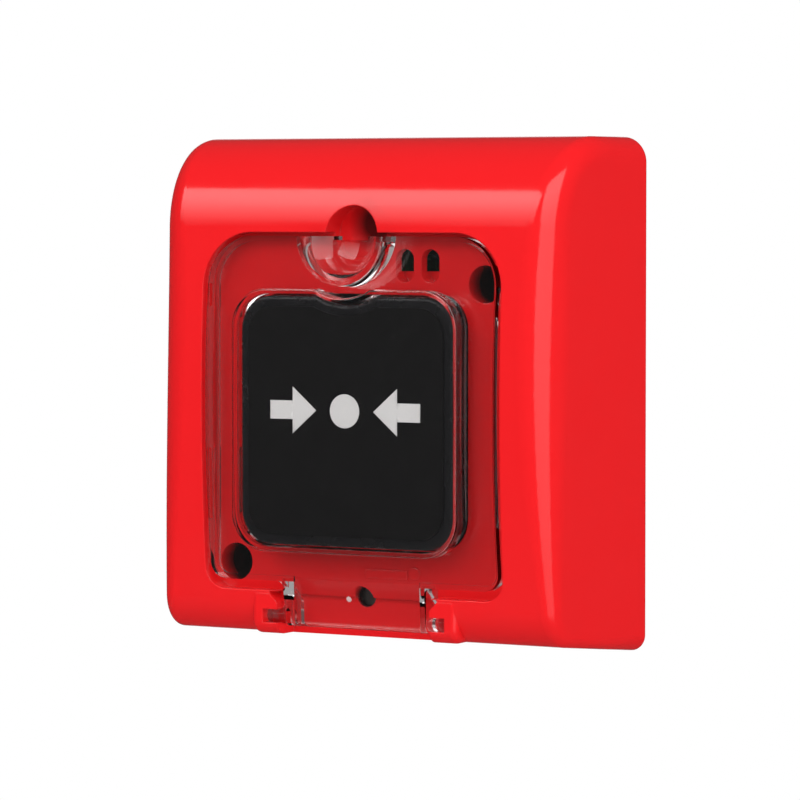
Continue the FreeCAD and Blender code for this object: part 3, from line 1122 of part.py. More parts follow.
def makeComponents():
    """The other parts on the board: a controller, a capacitor, a bridge and a row of resistors."""
    side = "(chipWide / 2)"
    low = "(chipUp - chipLong / 2)"
    chip = block("chipBody", f"chipAcross - {side}", f"chipAcross + {side}", low, f"{low} + chipLong",
                 f"{BOARD} + chipLift", f"{BOARD} + chipTall")
    legs = []
    for i in range(4):
        foot = f"({low} + chipLegFirst + {i} * chipLegPitch)"
        for name, left, right in (
            ("Left", f"chipAcross - {side} - chipLegOut", f"chipAcross - {side} + 0.1"),
            ("Right", f"chipAcross + {side} - 0.1", f"chipAcross + {side} + chipLegOut"),
        ):
            legs.append(block(f"chipLeg{name}{i}", left, right, foot, f"{foot} + chipLegWide",
                              BOARD, f"{BOARD} + chipLegTall"))
    keep("controller_chip", fuse("chip", chip, *legs))
    can = newBody("capacitorBody")
    half = sketch(can, "XY", "capacitorHalf")
    rim, neck = "canRadius", "canRadius - canGroove"
    outline(half, [("0", f"-{BOARD}"), (rim, f"-{BOARD}"), (rim, f"-{BOARD} - canNeck + 0.3"),
                   (neck, f"-{BOARD} - canNeck"), (rim, f"-{BOARD} - canNeck - 0.3"),
                   (rim, f"-{BOARD} - canTall + 0.3"), (f"{rim} - 0.3", f"-{BOARD} - canTall"),
                   ("0", f"-{BOARD} - canTall")])
    spin(can, half)
    bind(can, "Placement.Base.x", "canAcross")
    bind(can, "Placement.Base.z", "canUp")
    keep("capacitor", can)
    keep("bridge_rectifier", block("bridgeBody", "bridgeLeft", "bridgeLeft + bridgeLong", "bridgeLow",
                                   "bridgeLow + bridgeWide", BOARD, f"{BOARD} + bridgeTall"))
    rows = []
    for i in range(5):
        left = f"(resistorLeft + {i} * resistorPitch)"
        rows.append(block(f"resistor{i}", left, f"{left} + resistorWide", "resistorLow",
                          "resistorLow + resistorLong", BOARD, f"{BOARD} + resistorTall"))
    keep("resistors", group("resistorSet", rows))


# ---------------------------------------------------------------- build, check and write

for make in (makeHousing, makeCover, makeButton, makeLabel, makeLatch, makeSprings, makePlate,
             makeScrews, makeBoard, makeTerminals, makeSwitch, makeLamps, makeComponents):
    make()
    doc.recompute()

for item in doc.Objects:
    if {"Invalid", "Error"} & set(item.State):
        raise ValueError(f"{item.Name} is not built")
for name, item in SUB_PARTS.items():
    if item.Shape.isNull() or not item.Shape.isValid() or not item.Shape.Solids:
        raise ValueError(f"{name} is not a valid solid")

for name, item in SUB_PARTS.items():
    item.Shape.exportStep(f"parts/{name}.step")
    print(f"{name}: {len(item.Shape.Solids)} solids, {item.Shape.Volume:.1f} mm3")
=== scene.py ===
import math

import bpy
import numpy as np
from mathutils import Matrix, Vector


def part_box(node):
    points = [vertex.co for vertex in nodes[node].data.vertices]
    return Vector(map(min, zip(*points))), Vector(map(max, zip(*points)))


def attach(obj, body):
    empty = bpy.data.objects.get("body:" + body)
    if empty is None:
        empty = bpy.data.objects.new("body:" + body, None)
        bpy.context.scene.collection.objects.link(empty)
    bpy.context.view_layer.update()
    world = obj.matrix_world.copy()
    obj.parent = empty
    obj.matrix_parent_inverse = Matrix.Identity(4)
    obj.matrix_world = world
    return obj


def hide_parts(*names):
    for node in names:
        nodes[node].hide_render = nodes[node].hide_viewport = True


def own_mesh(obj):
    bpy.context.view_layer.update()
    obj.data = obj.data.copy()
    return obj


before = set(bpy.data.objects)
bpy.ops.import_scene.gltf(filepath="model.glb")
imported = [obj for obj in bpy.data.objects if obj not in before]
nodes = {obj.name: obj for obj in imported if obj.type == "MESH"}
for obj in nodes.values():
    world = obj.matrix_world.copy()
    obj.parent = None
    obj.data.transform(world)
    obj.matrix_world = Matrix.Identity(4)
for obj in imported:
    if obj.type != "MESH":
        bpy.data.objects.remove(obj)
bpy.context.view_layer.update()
scene = bpy.context.scene
print("frame loaded:", len(nodes), "nodes")


# small helpers for the shader trees

def newMaterial(name):
    material = bpy.data.materials.new(name)
    material.use_nodes = True
    tree = material.node_tree
    return material, tree, tree.nodes["Principled BSDF"]


def addNode(tree, kind, **settings):
    node = tree.nodes.new(kind)
    for key, value in settings.items():
        if key in node.inputs:
            node.inputs[key].default_value = value
        else:
            setattr(node, key, value)
    return node


# Object coordinates through a Mapping node
def objectPlace(tree, scale=(1, 1, 1), turn=(0, 0, 0), shift=(0, 0, 0)):
    source = addNode(tree, "ShaderNodeTexCoord")
    mapping = addNode(tree, "ShaderNodeMapping", Scale=scale, Rotation=turn, Location=shift)
    tree.links.new(source.outputs["Object"], mapping.inputs["Vector"])
    return mapping.outputs["Vector"]


def noise(tree, place, scale, detail=3.0, roughness=0.5):
    node = addNode(tree, "ShaderNodeTexNoise", Scale=scale, Detail=detail, Roughness=roughness)
    tree.links.new(place, node.inputs["Vector"])
    return node.outputs["Fac"]


def remap(tree, value, low, high, fromLow=0.3, fromHigh=0.7):
    node = addNode(tree, "ShaderNodeMapRange")
    for key, number in (("From Min", fromLow), ("From Max", fromHigh), ("To Min", low), ("To Max", high)):
        node.inputs[key].default_value = number
    tree.links.new(value, node.inputs["Value"])
    return node.outputs["Result"]


def maths(tree, operation, first, second):
    node = addNode(tree, "ShaderNodeMath", operation=operation)
    for socket, value in zip(node.inputs, (first, second)):
        if isinstance(value, (int, float)):
            socket.default_value = value
        else:
            tree.links.new(value, socket)
    return node.outputs[0]


# first and second are colours, or sockets that carry one
def blendColours(tree, value, first, second):
    node = addNode(tree, "ShaderNodeMix", data_type="RGBA")
    for key, colour in (("A", first), ("B", second)):
        if isinstance(colour, (tuple, list)):
            node.inputs[key].default_value = (*colour, 1)
        else:
            tree.links.new(colour, node.inputs[key])
    tree.links.new(value, node.inputs["Factor"])
    return node.outputs["Result"]


def mixShaders(tree, factor, first, second):
    node = addNode(tree, "ShaderNodeMixShader")
    for socket, source in zip(node.inputs, (factor, first, second)):
        tree.links.new(source, socket)
    return node.outputs[0]


# bump from a height; edge is how far round each edge the light sees it rounded
def addBump(tree, shader, height, strength, distance, edge=0.0):
    bump = addNode(tree, "ShaderNodeBump", Strength=strength, Distance=distance)
    tree.links.new(height, bump.inputs["Height"])
    if edge:
        rounding = addNode(tree, "ShaderNodeBevel", samples=6, Radius=edge)
        tree.links.new(rounding.outputs["Normal"], bump.inputs["Normal"])
    tree.links.new(bump.outputs["Normal"], shader.inputs["Normal"])


def finishNode(name, material):
    for place in nodes[name].material_slots:
        place.link = "OBJECT"
        place.material = material


smudgeFineness = 2.3       # the smudges in plastic's gloss, finer than the clouds in its colour
metalPatchShade = 0.82     # the dull patches on metal, as a part of its colour
metalGrainDepth = 0.00002


# moulded plastic: faint clouds in the colour, uneven gloss, fine grain in the surface, and painted shade in
# the deep holes that the look lists
def mouldedPlastic(name, look):
    material, tree, shader = newMaterial(name)
    place = objectPlace(tree)
    clouds = noise(tree, place, look["cloudScale"], detail=4)
    colour = np.array(look["colour"])
    tint = blendColours(tree, clouds, tuple(colour * (1 - look["cloud"])), tuple(colour))
    # painted shade darkens the colour in deep holes
    if "wells" in look:
        tint = paintWellShade(tree, tint, look["wells"])
    tree.links.new(tint, shader.inputs["Base Color"])
    smudges = noise(tree, place, look["cloudScale"] * smudgeFineness, detail=5, roughness=0.6)
    tree.links.new(remap(tree, smudges, look["smooth"], look["rough"]), shader.inputs["Roughness"])
    shader.inputs["Specular IOR Level"].default_value = look.get("specular", 0.5)
    grain = noise(tree, place, look["grainScale"], detail=2)
    addBump(tree, shader, grain, look["grain"], look["grainDepth"], look.get("edge", 0))
    return material


# painted shade in deep holes: each darkens the colour inside a radius about its axis, from its mouth down
# to a depth
def paintWellShade(tree, tint, wells):
    parts = addNode(tree, "ShaderNodeSeparateXYZ")
    tree.links.new(objectPlace(tree), parts.inputs[0])
    for across, up, radius, fade, mouth, deep, strength in wells["holes"]:
        place = objectPlace(tree, shift=(-across, 0, -up), scale=(1, 0, 1))
        far = addNode(tree, "ShaderNodeVectorMath", operation="LENGTH")
        tree.links.new(place, far.inputs[0])
        inside = remap(tree, far.outputs["Value"], strength, 0.0, radius, radius + fade)
        below = remap(tree, parts.outputs["Y"], 0.0, 1.0, mouth, deep)
        tint = blendColours(tree, maths(tree, "MULTIPLY", inside, below), tint, wells["colour"])
    return tint


# plated, blackened or drawn metal: streaks along one axis, and dull patches
def workedMetal(name, look):
    material, tree, shader = newMaterial(name)
    streaks = noise(tree, objectPlace(tree, look["stretch"]), look["streakScale"], detail=4, roughness=0.7)
    patches = noise(tree, objectPlace(tree), look["patchScale"])
    colour = np.array(look["colour"])
    tree.links.new(blendColours(tree, patches, tuple(colour * metalPatchShade), tuple(colour)),
                   shader.inputs["Base Color"])
    tree.links.new(remap(tree, streaks, look["smooth"], look["rough"]), shader.inputs["Roughness"])
    shader.inputs["Metallic"].default_value = 1.0
    addBump(tree, shader, streaks, look["grain"], metalGrainDepth)
    return material


# clear moulded plastic: smooth, with a slow waviness and a few hairline scratches
def clearMoulding(name, look):
    material, tree, shader = newMaterial(name)
    shader.inputs["Base Color"].default_value = (*look["colour"], 1)
    shader.inputs["Transmission Weight"].default_value = look["clear"]
    shader.inputs["IOR"].default_value = look["ior"]
    place = objectPlace(tree, look["scuffStretch"], look["scuffTurn"])
    scuffs = noise(tree, place, look["scuffScale"], detail=5, roughness=0.65)
    dull = remap(tree, scuffs, look["smooth"], look["rough"], *look["scuffRange"])
    tree.links.new(dull, shader.inputs["Roughness"])
    flow = noise(tree, objectPlace(tree), look["flowScale"], detail=2)
    addBump(tree, shader, flow, look["flow"], look["flowDepth"])
    return material


# solder mask over copper: long parallel tracks, joined here and there, show as a lighter green
def boardMask(name, look):
    material, tree, shader = newMaterial(name)
    tracks = addNode(tree, "ShaderNodeTexBrick", Scale=look["trackScale"], offset=look["trackShift"],
                     offset_frequency=look["shiftedRow"])
    sizes = {"Mortar Size": "trackWidth", "Brick Width": "trackLength", "Row Height": "trackPitch"}
    for key, size in sizes.items():
        tracks.inputs[key].default_value = look[size]
    colours = {"Color1": "mask", "Color2": "maskShade", "Mortar": "track"}
    for key, colour in colours.items():
        tracks.inputs[key].default_value = (*look[colour], 1)
    tree.links.new(objectPlace(tree, turn=(math.pi / 2, 0, 0)), tracks.inputs["Vector"])
    tree.links.new(tracks.outputs["Color"], shader.inputs["Base Color"])
    weave = noise(tree, objectPlace(tree), look["weaveScale"])
    tree.links.new(remap(tree, weave, look["smooth"], look["rough"]), shader.inputs["Roughness"])
    addBump(tree, shader, weave, look["grain"], look["grainDepth"])
    return material


redShellLook = {
    "colour": (0.86, 0.0125, 0.0160), "cloud": 0.015, "cloudScale": 60,
    "smooth": 0.10, "rough": 0.15, "grain": 0.05, "grainScale": 2500, "grainDepth": 0.00001,
    "edge": 0.00035,
    # painted shade in the screw wells, reset hole and finger notch: across, up, radius, fade, mouth, deep,
    # strength
    "wells": {"colour": (0.010, 0.001, 0.001), "holes": (
        (0.0263, 0.0203, 0.00345, 0.0001, -0.0262, -0.0215, 1.0),
        (-0.0263, -0.0314, 0.00345, 0.0001, -0.0262, -0.0215, 1.0),
        (0.0, -0.0368, 0.00195, 0.0001, -0.0245, -0.0225, 1.0),
        (0.0024, 0.0312, 0.0024, 0.0036, -0.0295, -0.0262, 0.9),
    )},
}
blackCapLook = {
    "colour": (0.006, 0.006, 0.007), "cloud": 0.1, "cloudScale": 90, "specular": 0.35,
    "smooth": 0.22, "rough": 0.30, "grain": 0.15, "grainScale": 3000, "grainDepth": 0.00002,
    "edge": 0.0003,
}
blackFilmLook = {
    "colour": (0.0022, 0.0021, 0.0024), "cloud": 0.2, "cloudScale": 140, "specular": 0.22,
    "smooth": 0.32, "rough": 0.42, "grain": 0.2, "grainScale": 1800, "grainDepth": 0.00002,
}
whiteInkLook = {
    "colour": (0.95, 0.95, 0.94), "cloud": 0.03, "cloudScale": 500, "specular": 0.3,
    "smooth": 0.40, "rough": 0.55, "grain": 0.3, "grainScale": 4000, "grainDepth": 0.00001,
}
# a raised frosted gate mark; its pale colour is also a painted highlight on the clear tongue
frostedGateHighlightLook = {
    "colour": (0.80, 0.55, 0.55), "cloud": 0.4, "cloudScale": 2500, "specular": 0.5,
    "smooth": 0.30, "rough": 0.60, "grain": 0.6, "grainScale": 6000, "grainDepth": 0.00004,
}
darkPlateLook = {
    "colour": (0.045, 0.045, 0.048), "cloud": 0.15, "cloudScale": 70,
    "smooth": 0.38, "rough": 0.52, "grain": 0.5, "grainScale": 1500, "grainDepth": 0.00004,
    "edge": 0.0003,
}
# the latch's mid grey, darker than its white plastic, is partly painted shade in the reset hole
plainLatchLook = {
    "colour": (0.42, 0.42, 0.40), "cloud": 0.05, "cloudScale": 200,
    "smooth": 0.30, "rough": 0.42, "grain": 0.2, "grainScale": 2500, "grainDepth": 0.00002,
    "edge": 0.0002,
}
greenTerminalLook = {
    "colour": (0.02, 0.22, 0.08), "cloud": 0.1, "cloudScale": 200,
    "smooth": 0.32, "rough": 0.45, "grain": 0.3, "grainScale": 2500, "grainDepth": 0.00002,
    "edge": 0.0002,
}
switchCaseLook = {
    "colour": (0.02, 0.02, 0.02), "cloud": 0.15, "cloudScale": 300,
    "smooth": 0.35, "rough": 0.5, "grain": 0.4, "grainScale": 2500, "grainDepth": 0.00003,
    "edge": 0.0002,
}
redPlungerLook = {
    "colour": (0.42, 0.02, 0.015), "cloud": 0.05, "cloudScale": 300,
    "smooth": 0.25, "rough": 0.35, "grain": 0.2, "grainScale": 2500, "grainDepth": 0.00002,
}
chipResinLook = {
    "colour": (0.022, 0.022, 0.024), "cloud": 0.2, "cloudScale": 500,
    "smooth": 0.45, "rough": 0.6, "grain": 0.6, "grainScale": 5000, "grainDepth": 0.00003,
    "edge": 0.0001,
}
resistorLook = {
    "colour": (0.55, 0.53, 0.47), "cloud": 0.1, "cloudScale": 400,
    "smooth": 0.35, "rough": 0.5, "grain": 0.3, "grainScale": 4000, "grainDepth": 0.00002,
}
zincLook = {
    "colour": (0.66, 0.66, 0.68), "stretch": (1, 1, 6), "streakScale": 700, "patchScale": 300,
    "smooth": 0.22, "rough": 0.42, "grain": 0.2,
}
blackScrewLook = {
    "colour": (0.030, 0.028, 0.028), "stretch": (1, 1, 6), "streakScale": 700, "patchScale": 300,
    "smooth": 0.32, "rough": 0.50, "grain": 0.2,
}
springSteelLook = {
    "colour": (0.55, 0.55, 0.57), "stretch": (1, 8, 1), "streakScale": 900, "patchScale": 200,
    "smooth": 0.18, "rough": 0.34, "grain": 0.15,
}
solderLook = {
    "colour": (0.62, 0.62, 0.63), "stretch": (1, 1, 1), "streakScale": 1500, "patchScale": 600,
    "smooth": 0.15, "rough": 0.35, "grain": 0.1,
}
canLook = {
    "colour": (0.72, 0.72, 0.74), "stretch": (1, 10, 1), "streakScale": 800, "patchScale": 250,
    "smooth": 0.20, "rough": 0.36, "grain": 0.2,
}
coverLook = {
    # the grey in the colour is partly painted shade: it darkens the recess seen through the cover, in place
    # of the shadow the cover doesn't cast
    "colour": (0.90, 0.885, 0.885), "clear": 1.0, "ior": 1.49, "smooth": 0.0, "rough": 0.02,
    "scuffStretch": (1, 1, 14), "scuffTurn": (0.0, 0.6, 0.0), "scuffScale": 220, "scuffRange": (0.55, 0.8),
    "flowScale": 45, "flow": 0.015, "flowDepth": 0.0002,
}
greenLensLook = {
    "colour": (0.02, 0.20, 0.05), "clear": 0.75, "ior": 1.5, "smooth": 0.12, "rough": 0.25,
    "scuffStretch": (1, 1, 1), "scuffTurn": (0.0, 0.6, 0.0), "scuffScale": 900, "scuffRange": (0.55, 0.8),
    "flowScale": 900, "flow": 0.1, "flowDepth": 0.00002,
}
redLensLook = {**greenLensLook, "colour": (0.22, 0.010, 0.008)}
boardLook = {
    "mask": (0.008, 0.11, 0.035), "maskShade": (0.007, 0.10, 0.031), "track": (0.03, 0.20, 0.06),
    "trackScale": 190, "trackWidth": 0.035, "trackLength": 2.6, "trackPitch": 0.24,
    "trackShift": 0.37, "shiftedRow": 3,    # every third row of tracks is shifted
    "weaveScale": 1400, "smooth": 0.25, "rough": 0.38, "grain": 0.2, "grainDepth": 0.00002,
}

zinc = workedMetal("zincPlatedSteel", zincLook)
spring = workedMetal("springWire", springSteelLook)
switchCase = mouldedPlastic("switchCasePlastic", switchCaseLook)
chipResin = mouldedPlastic("chipResin", chipResinLook)
clearCover = clearMoulding("clearCoverPlastic", coverLook)
finishes = {
    "housing": mouldedPlastic("redShellPlastic", redShellLook),
    "clear_cover": clearCover,
    "push_button": mouldedPlastic("blackCapPlastic", blackCapLook),
    "button_label": mouldedPlastic("blackLabelFilm", blackFilmLook),
    "wall_plate": mouldedPlastic("darkPlatePlastic", darkPlateLook),
    "reset_latch": mouldedPlastic("plainLatchPlastic", plainLatchLook),
    "housing_screws": workedMetal("blackScrewSteel", blackScrewLook),
    "circuit_board": boardMask("boardSolderMask", boardLook),
    "terminal_block": mouldedPlastic("greenTerminalPlastic", greenTerminalLook),
    "switch_plunger": mouldedPlastic("redPlungerPlastic", redPlungerLook),
    "status_lamp": clearMoulding("greenLens", greenLensLook),
    "alarm_lamp": clearMoulding("redLens", redLensLook),
    "capacitor": workedMetal("drawnCan", canLook),
    "resistors": mouldedPlastic("resistorCeramic", resistorLook),
    "microswitch": switchCase, "lamp_spacers": switchCase,
    "controller_chip": chipResin, "bridge_rectifier": chipResin,
    "latch_pin": zinc, "board_screws": zinc, "terminal_screws": zinc,
    "switch_lever": spring, "latch_spring": spring,
    "return_spring_left": spring, "return_spring_right": spring,
}
for name, material in finishes.items():
    finishNode(name, material)
nodes["clear_cover"].visible_shadow = False    # clear plastic lets the light on to the recess
print("finishes set:", len(finishes))


# a surface from rows of points, each row a closed line of the grid
def gridMesh(name, points, material):
    rows, columns = points.shape[:2]
    index = np.arange(rows * columns).reshape(rows, columns)
    right = np.roll(index, -1, axis=1)
    quads = np.stack([index[:-1], right[:-1], right[1:], index[1:]], axis=-1).reshape(-1, 4)
    return linkMesh(name, points.reshape(-1, 3), quads, material)


def linkMesh(name, points, faces, material):
    mesh = bpy.data.meshes.new(name)
    mesh.from_pydata(points.tolist(), [], faces.tolist())
    mesh.polygons.foreach_set("use_smooth", np.ones(len(faces), bool))
    mesh.materials.append(material)
    piece = bpy.data.objects.new(name, mesh)
    scene.collection.objects.link(piece)
    return piece


# A closed skin from rows of points: the columns join round, and the first and last row are one point each.
# Gives the points that are used and the triangles between them.
def closedSkin(points):
    rows, columns = points.shape[:2]
    index = np.arange(rows * columns).reshape(rows, columns)
    index[0], index[-1] = index[0, 0], index[-1, 0]
    right = np.roll(index, -1, axis=1)
    quads = np.stack([index[:-1], index[1:], right[1:], right[:-1]], axis=-1)
    middle = quads[1:-1].reshape(-1, 4)
    triangles = np.concatenate([middle[:, [0, 1, 2]], middle[:, [0, 2, 3]],
                                quads[0][:, [0, 1, 2]], quads[-1][:, [0, 1, 3]]])
    used = np.unique(triangles)
    order = np.zeros(rows * columns, int)
    order[used] = np.arange(len(used))
    return points.reshape(-1, 3)[used], order[triangles]


# A low raised patch: its outline is a closed line in the X-Z plane about a centre that sees all of it.
# Row k of the surface is the outline scaled about the centre by reach[k], and rise[k] times the thickness
# in front of the surface under it.
def raisedPatch(outline, centre, thick, surface):
    reach = np.array([0.0, 0.5, 0.93, 1.0, 1.0, 0.0])
    rise = np.array([1.0, 1.0, 0.96, 0.7, -0.5, -0.5])
    flat = centre + reach[:, None, None] * (outline - centre)
    front = surface(flat[..., 0], flat[..., 1]) - rise[:, None] * thick
    return closedSkin(np.stack([flat[..., 0], front, flat[..., 1]], axis=-1))


# several patches in one piece
def patchPiece(name, patches, material, body):
    points, faces, count = [], [], 0
    for patch, triangles in patches:
        points.append(patch)
        faces.append(triangles + count)
        count += len(patch)
    piece = linkMesh(name, np.concatenate(points), np.concatenate(faces), material)
    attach(piece, body)
    return piece


# even points along straight sides, in order, as a closed line
def sidesOf(corners, perSide):
    corners = np.array(corners)
    along = np.linspace(0, 1, perSide, endpoint=False)[:, None]
    return np.concatenate([a + along * (b - a) for a, b in zip(corners, np.roll(corners, -1, axis=0))])


# a circle as points at even angles
def circleOf(radius, count):
    turn = np.linspace(0, 2 * math.pi, count, endpoint=False)
    return np.stack([radius * np.cos(turn), radius * np.sin(turn)], axis=-1)


pressMarkLook = {
    "dot": 0.0031, "gap": 0.0029, "length": 0.0098, "head": 0.0050, "headHalf": 0.0043, "shaftHalf": 0.0017,
    "thick": 0.00003, "middleUp": -0.0028, "dotPoints": 48, "sidePoints": 6,
}


# the print on the label says press here: a dot, and on each side an arrow that points to it
def makePressMark():
    low, high = (np.array(corner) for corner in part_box("button_label"))
    front, look = low[1], pressMarkLook
    middle = np.array([(low[0] + high[0]) / 2, look["middleUp"]])
    onLabel = lambda across, up: np.full(across.shape, front)
    tip = look["dot"] + look["gap"]
    neck, tail = tip + look["head"], tip + look["length"]
    arrow = np.array([(tip, 0), (neck, -look["headHalf"]), (neck, -look["shaftHalf"]),
                      (tail, -look["shaftHalf"]), (tail, look["shaftHalf"]), (neck, look["shaftHalf"]),
                      (neck, look["headHalf"])])
    dot = middle + circleOf(look["dot"], look["dotPoints"])
    patches = [raisedPatch(dot, middle, look["thick"], onLabel)]
    for way in (1, -1):
        corners = arrow[::way] * (way, 1)
        outline = middle + sidesOf(corners, look["sidePoints"])
        patches.append(raisedPatch(outline, middle + (way * neck, 0), look["thick"], onLabel))
    ink = mouldedPlastic("whiteInk", whiteInkLook)
    patchPiece("press_mark", patches, ink, "button")


mouldMarkLook = {
    "recessFloor": -0.026, "thick": 0.00015,
    "bar": (0.0058, -0.0325, 0.0045, 0.0009), "stud": (0.0117, -0.0322, 0.00125),
    # from the tongue's front at the hinge, the gate mark's surface leans forward as it goes up; the tongue
    # leans less, so the mark stands 0.9 mm ahead of it
    "tongueFront": -0.0284, "hingeUp": -0.0411, "gateLean": 0.33,
    "gate": (-0.0004, -0.0372, 0.0005), "gateThick": 0.0001,
    "sidePoints": 8, "roundPoints": 24, "ragged": 0.25, "raggedStep": 2.3,
}


# marks that the moulds leave: a bar and a stud on the recess floor, and the gate in front of the tongue,
# whose pale colour is also a painted highlight
def makeMouldMarks():
    look = mouldMarkLook
    onFloor = lambda across, up: np.full(across.shape, look["recessFloor"])
    onGate = lambda across, up: look["tongueFront"] - (up - look["hingeUp"]) * look["gateLean"]
    across, up, half, tall = look["bar"]
    corners = [(across - half, up - tall), (across + half, up - tall), (across + half, up + tall),
               (across - half, up + tall)]
    bar = sidesOf(corners, look["sidePoints"])
    middle = np.array(look["stud"][:2])
    stud = middle + circleOf(look["stud"][2], look["roundPoints"])
    patches = [raisedPatch(bar, np.array(look["bar"][:2]), look["thick"], onFloor),
               raisedPatch(stud, middle, look["thick"], onFloor)]
    patchPiece("recess_marks", patches, finishes["housing"], "base")
    middle = np.array(look["gate"][:2])
    waves = 1 + look["ragged"] * np.sin(np.arange(look["roundPoints"]) * look["raggedStep"])
    gate = middle + circleOf(look["gate"][2], look["roundPoints"]) * waves[:, None]
    patches = [raisedPatch(gate, middle, look["gateThick"], onGate)]
    patchPiece("gate_mark", patches, mouldedPlastic("frostedGatePaintedHighlight", frostedGateHighlightLook), "cover")


solderMarkLook = {
    "radius": 0.0009, "thick": 0.0005, "around": 10, "terminals": 5,
    "pinHalf": 0.0013,                  # half the distance between the two pins of a pair
    "switchPins": (0.12, 0.5, 0.88),    # as parts of the switch's width
}


# solder on the board's back, a mound for each pin of the terminals, the lamps, the capacitor and the switch
def makeSolder():
    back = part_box("circuit_board")[1][1]
    onBoard = lambda across, up: np.full(across.shape, back)
    look = solderMarkLook
    pinHalf = look["pinHalf"]
    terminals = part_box("terminal_block")
    pitch = (terminals[1][0] - terminals[0][0]) / look["terminals"]
    spots = [(terminals[0][0] + pitch * (i + 0.5), (terminals[0][2] + terminals[1][2]) / 2 + side)
             for i in range(look["terminals"]) for side in (-pinHalf, pinHalf)]
    for name in ("status_lamp", "alarm_lamp", "capacitor"):
        corner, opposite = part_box(name)
        across, up = (corner[0] + opposite[0]) / 2, (corner[2] + opposite[2]) / 2
        spots += [(across - pinHalf, up), (across + pinHalf, up)]
    corner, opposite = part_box("microswitch")
    spots += [(corner[0] + (opposite[0] - corner[0]) * part, (corner[2] + opposite[2]) / 2)
              for part in look["switchPins"]]
    patches = []
    for spot in spots:
        middle = np.array(spot)
        foot = middle + circleOf(look["radius"], look["around"])
        points, faces = raisedPatch(foot, middle, -look["thick"], onBoard)
        patches.append((points, faces[:, ::-1]))
    patchPiece("board_solder", patches, workedMetal("solder", solderLook), "base")


springLook = {
    # node: mean coil diameter, wire, turns, the joint that presses it, and how far that moves its front end
    "return_spring_left": (0.0050, 0.0006, 6.0, "button_press", 0.0040),
    "return_spring_right": (0.0050, 0.0006, 6.0, "button_press", 0.0040),
    "latch_spring": (0.0028, 0.0004, 7.0, "latch_release", 0.0016),
}
# closedEnd is the part of the wire that is closed at each end
coilLook = {"perTurn": 26, "aroundWire": 8, "closedEnd": 0.11, "endRise": 0.25}


# A coil spring along Y. Its middle line turns evenly in a circle of the mean diameter while its depth
# goes evenly from one end to the other, but hardly changes over the closed part at each end. The wire is
# a circle across that line, from the radial and the Y direction; its ends shrink to a point.
def makeSpring(node, mean, wire, turns, joint, travel):
    low, high = (np.array(corner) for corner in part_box(node))
    count = int(coilLook["perTurn"] * turns)
    along = np.concatenate([[0], np.linspace(0, 1, count), [1]])
    turn = along * turns * 2 * math.pi
    closed = coilLook["closedEnd"]
    level = np.clip((along - closed) / (1 - 2 * closed), 0, 1)
    slow = closed * coilLook["endRise"]
    rise = slow * (along - 0.5) + (1 - slow) * (level - 0.5)
    middle = (low + high) / 2
    depth = middle[1] + rise / np.abs(rise).max() * ((high[1] - low[1]) - wire) / 2
    thick = np.full(count + 2, wire / 2)
    thick[[0, -1]] = 0
    around = np.linspace(0, 2 * math.pi, coilLook["aroundWire"], endpoint=False)
    radius = mean / 2 + thick[:, None] * np.cos(around)
    points = np.stack([middle[0] + radius * np.cos(turn)[:, None],
                       depth[:, None] + thick[:, None] * np.sin(around),
                       middle[2] + radius * np.sin(turn)[:, None]], axis=-1)
    piece = linkMesh(node + "_coil", *closedSkin(points), spring)
    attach(piece, "base")
    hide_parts(node)
    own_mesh(piece)


makePressMark()
makeMouldMarks()
makeSolder()
for node, look in springLook.items():
    makeSpring(node, *look)
print("marks, print, solder and springs made")


stageLook = {
    "floorHeight": -0.25, "floorRadius": 1.1, "grey": 0.82, "rough": 0.8,
    "whiteFrom": 0.275, "whiteTo": 1.045,    # the floor turns white between these distances
    "around": 64, "rings": 12, "innerRing": 0.000001,
}
lampLook = {
    # azimuth from the front towards +X, elevation, width, height, radiance at the foot and the top,
    # and whether rays that have been through the clear cover see it
    "leftSoftbox": (-27, 31, 0.93, 0.60, 0.4, 3.4, True),
    "rightSoftbox": (47, 18, 0.90, 1.62, 0.3, 2.6, False),
}
lampRise = (0.0, 0.7)    # the radiance rises between these parts of a softbox's height
worldLook = {
    # even light, weaker from below and the left
    "lean": (0.72, 0.25, 0.65), "low": 0.06, "high": 0.60, "leanRange": (-0.8, 0.9),
    "dark": 0.06,                                              # what gloss sees in front
    "behind": (-0.5, 0.866, -0.05), "narrow": (0.955, 0.985),  # where gloss sees the white backdrop
    "beyond": (0.0, 1.0, 0.0), "wide": (0.0, 0.35),            # where rays turned back in glass see it
    # what those see in front; darker about the camera's line of sight as the cover's front mirrors it
    "mirror": (-0.5, -0.866, 0.0), "cone": (0.80, 0.93), "glass": 0.40, "glassDark": 0.10,
}
cameraLook = {
    "place": (0.3930, -0.6925, 0.0355), "azimuth": 30.0, "down": 2.70,
    "focalPixels": 4244, "photoPixels": 800, "sensor": 36.0, "nearest": 0.01,
}


# 1 for the rays that show the background: the camera's own, and those in gloss and through glass
def backgroundRays(tree):
    path = addNode(tree, "ShaderNodeLightPath")
    seen = maths(tree, "MAXIMUM", path.outputs["Is Glossy Ray"], path.outputs["Is Transmission Ray"])
    return maths(tree, "MAXIMUM", path.outputs["Is Camera Ray"], seen), path


# 1 for rays that were turned back inside the clear cover before they left it
def reflectedInGlass(tree, path):
    turned = maths(tree, "GREATER_THAN", path.outputs["Glossy Depth"], 0.5)
    return maths(tree, "MULTIPLY", turned, path.outputs["Is Transmission Ray"])


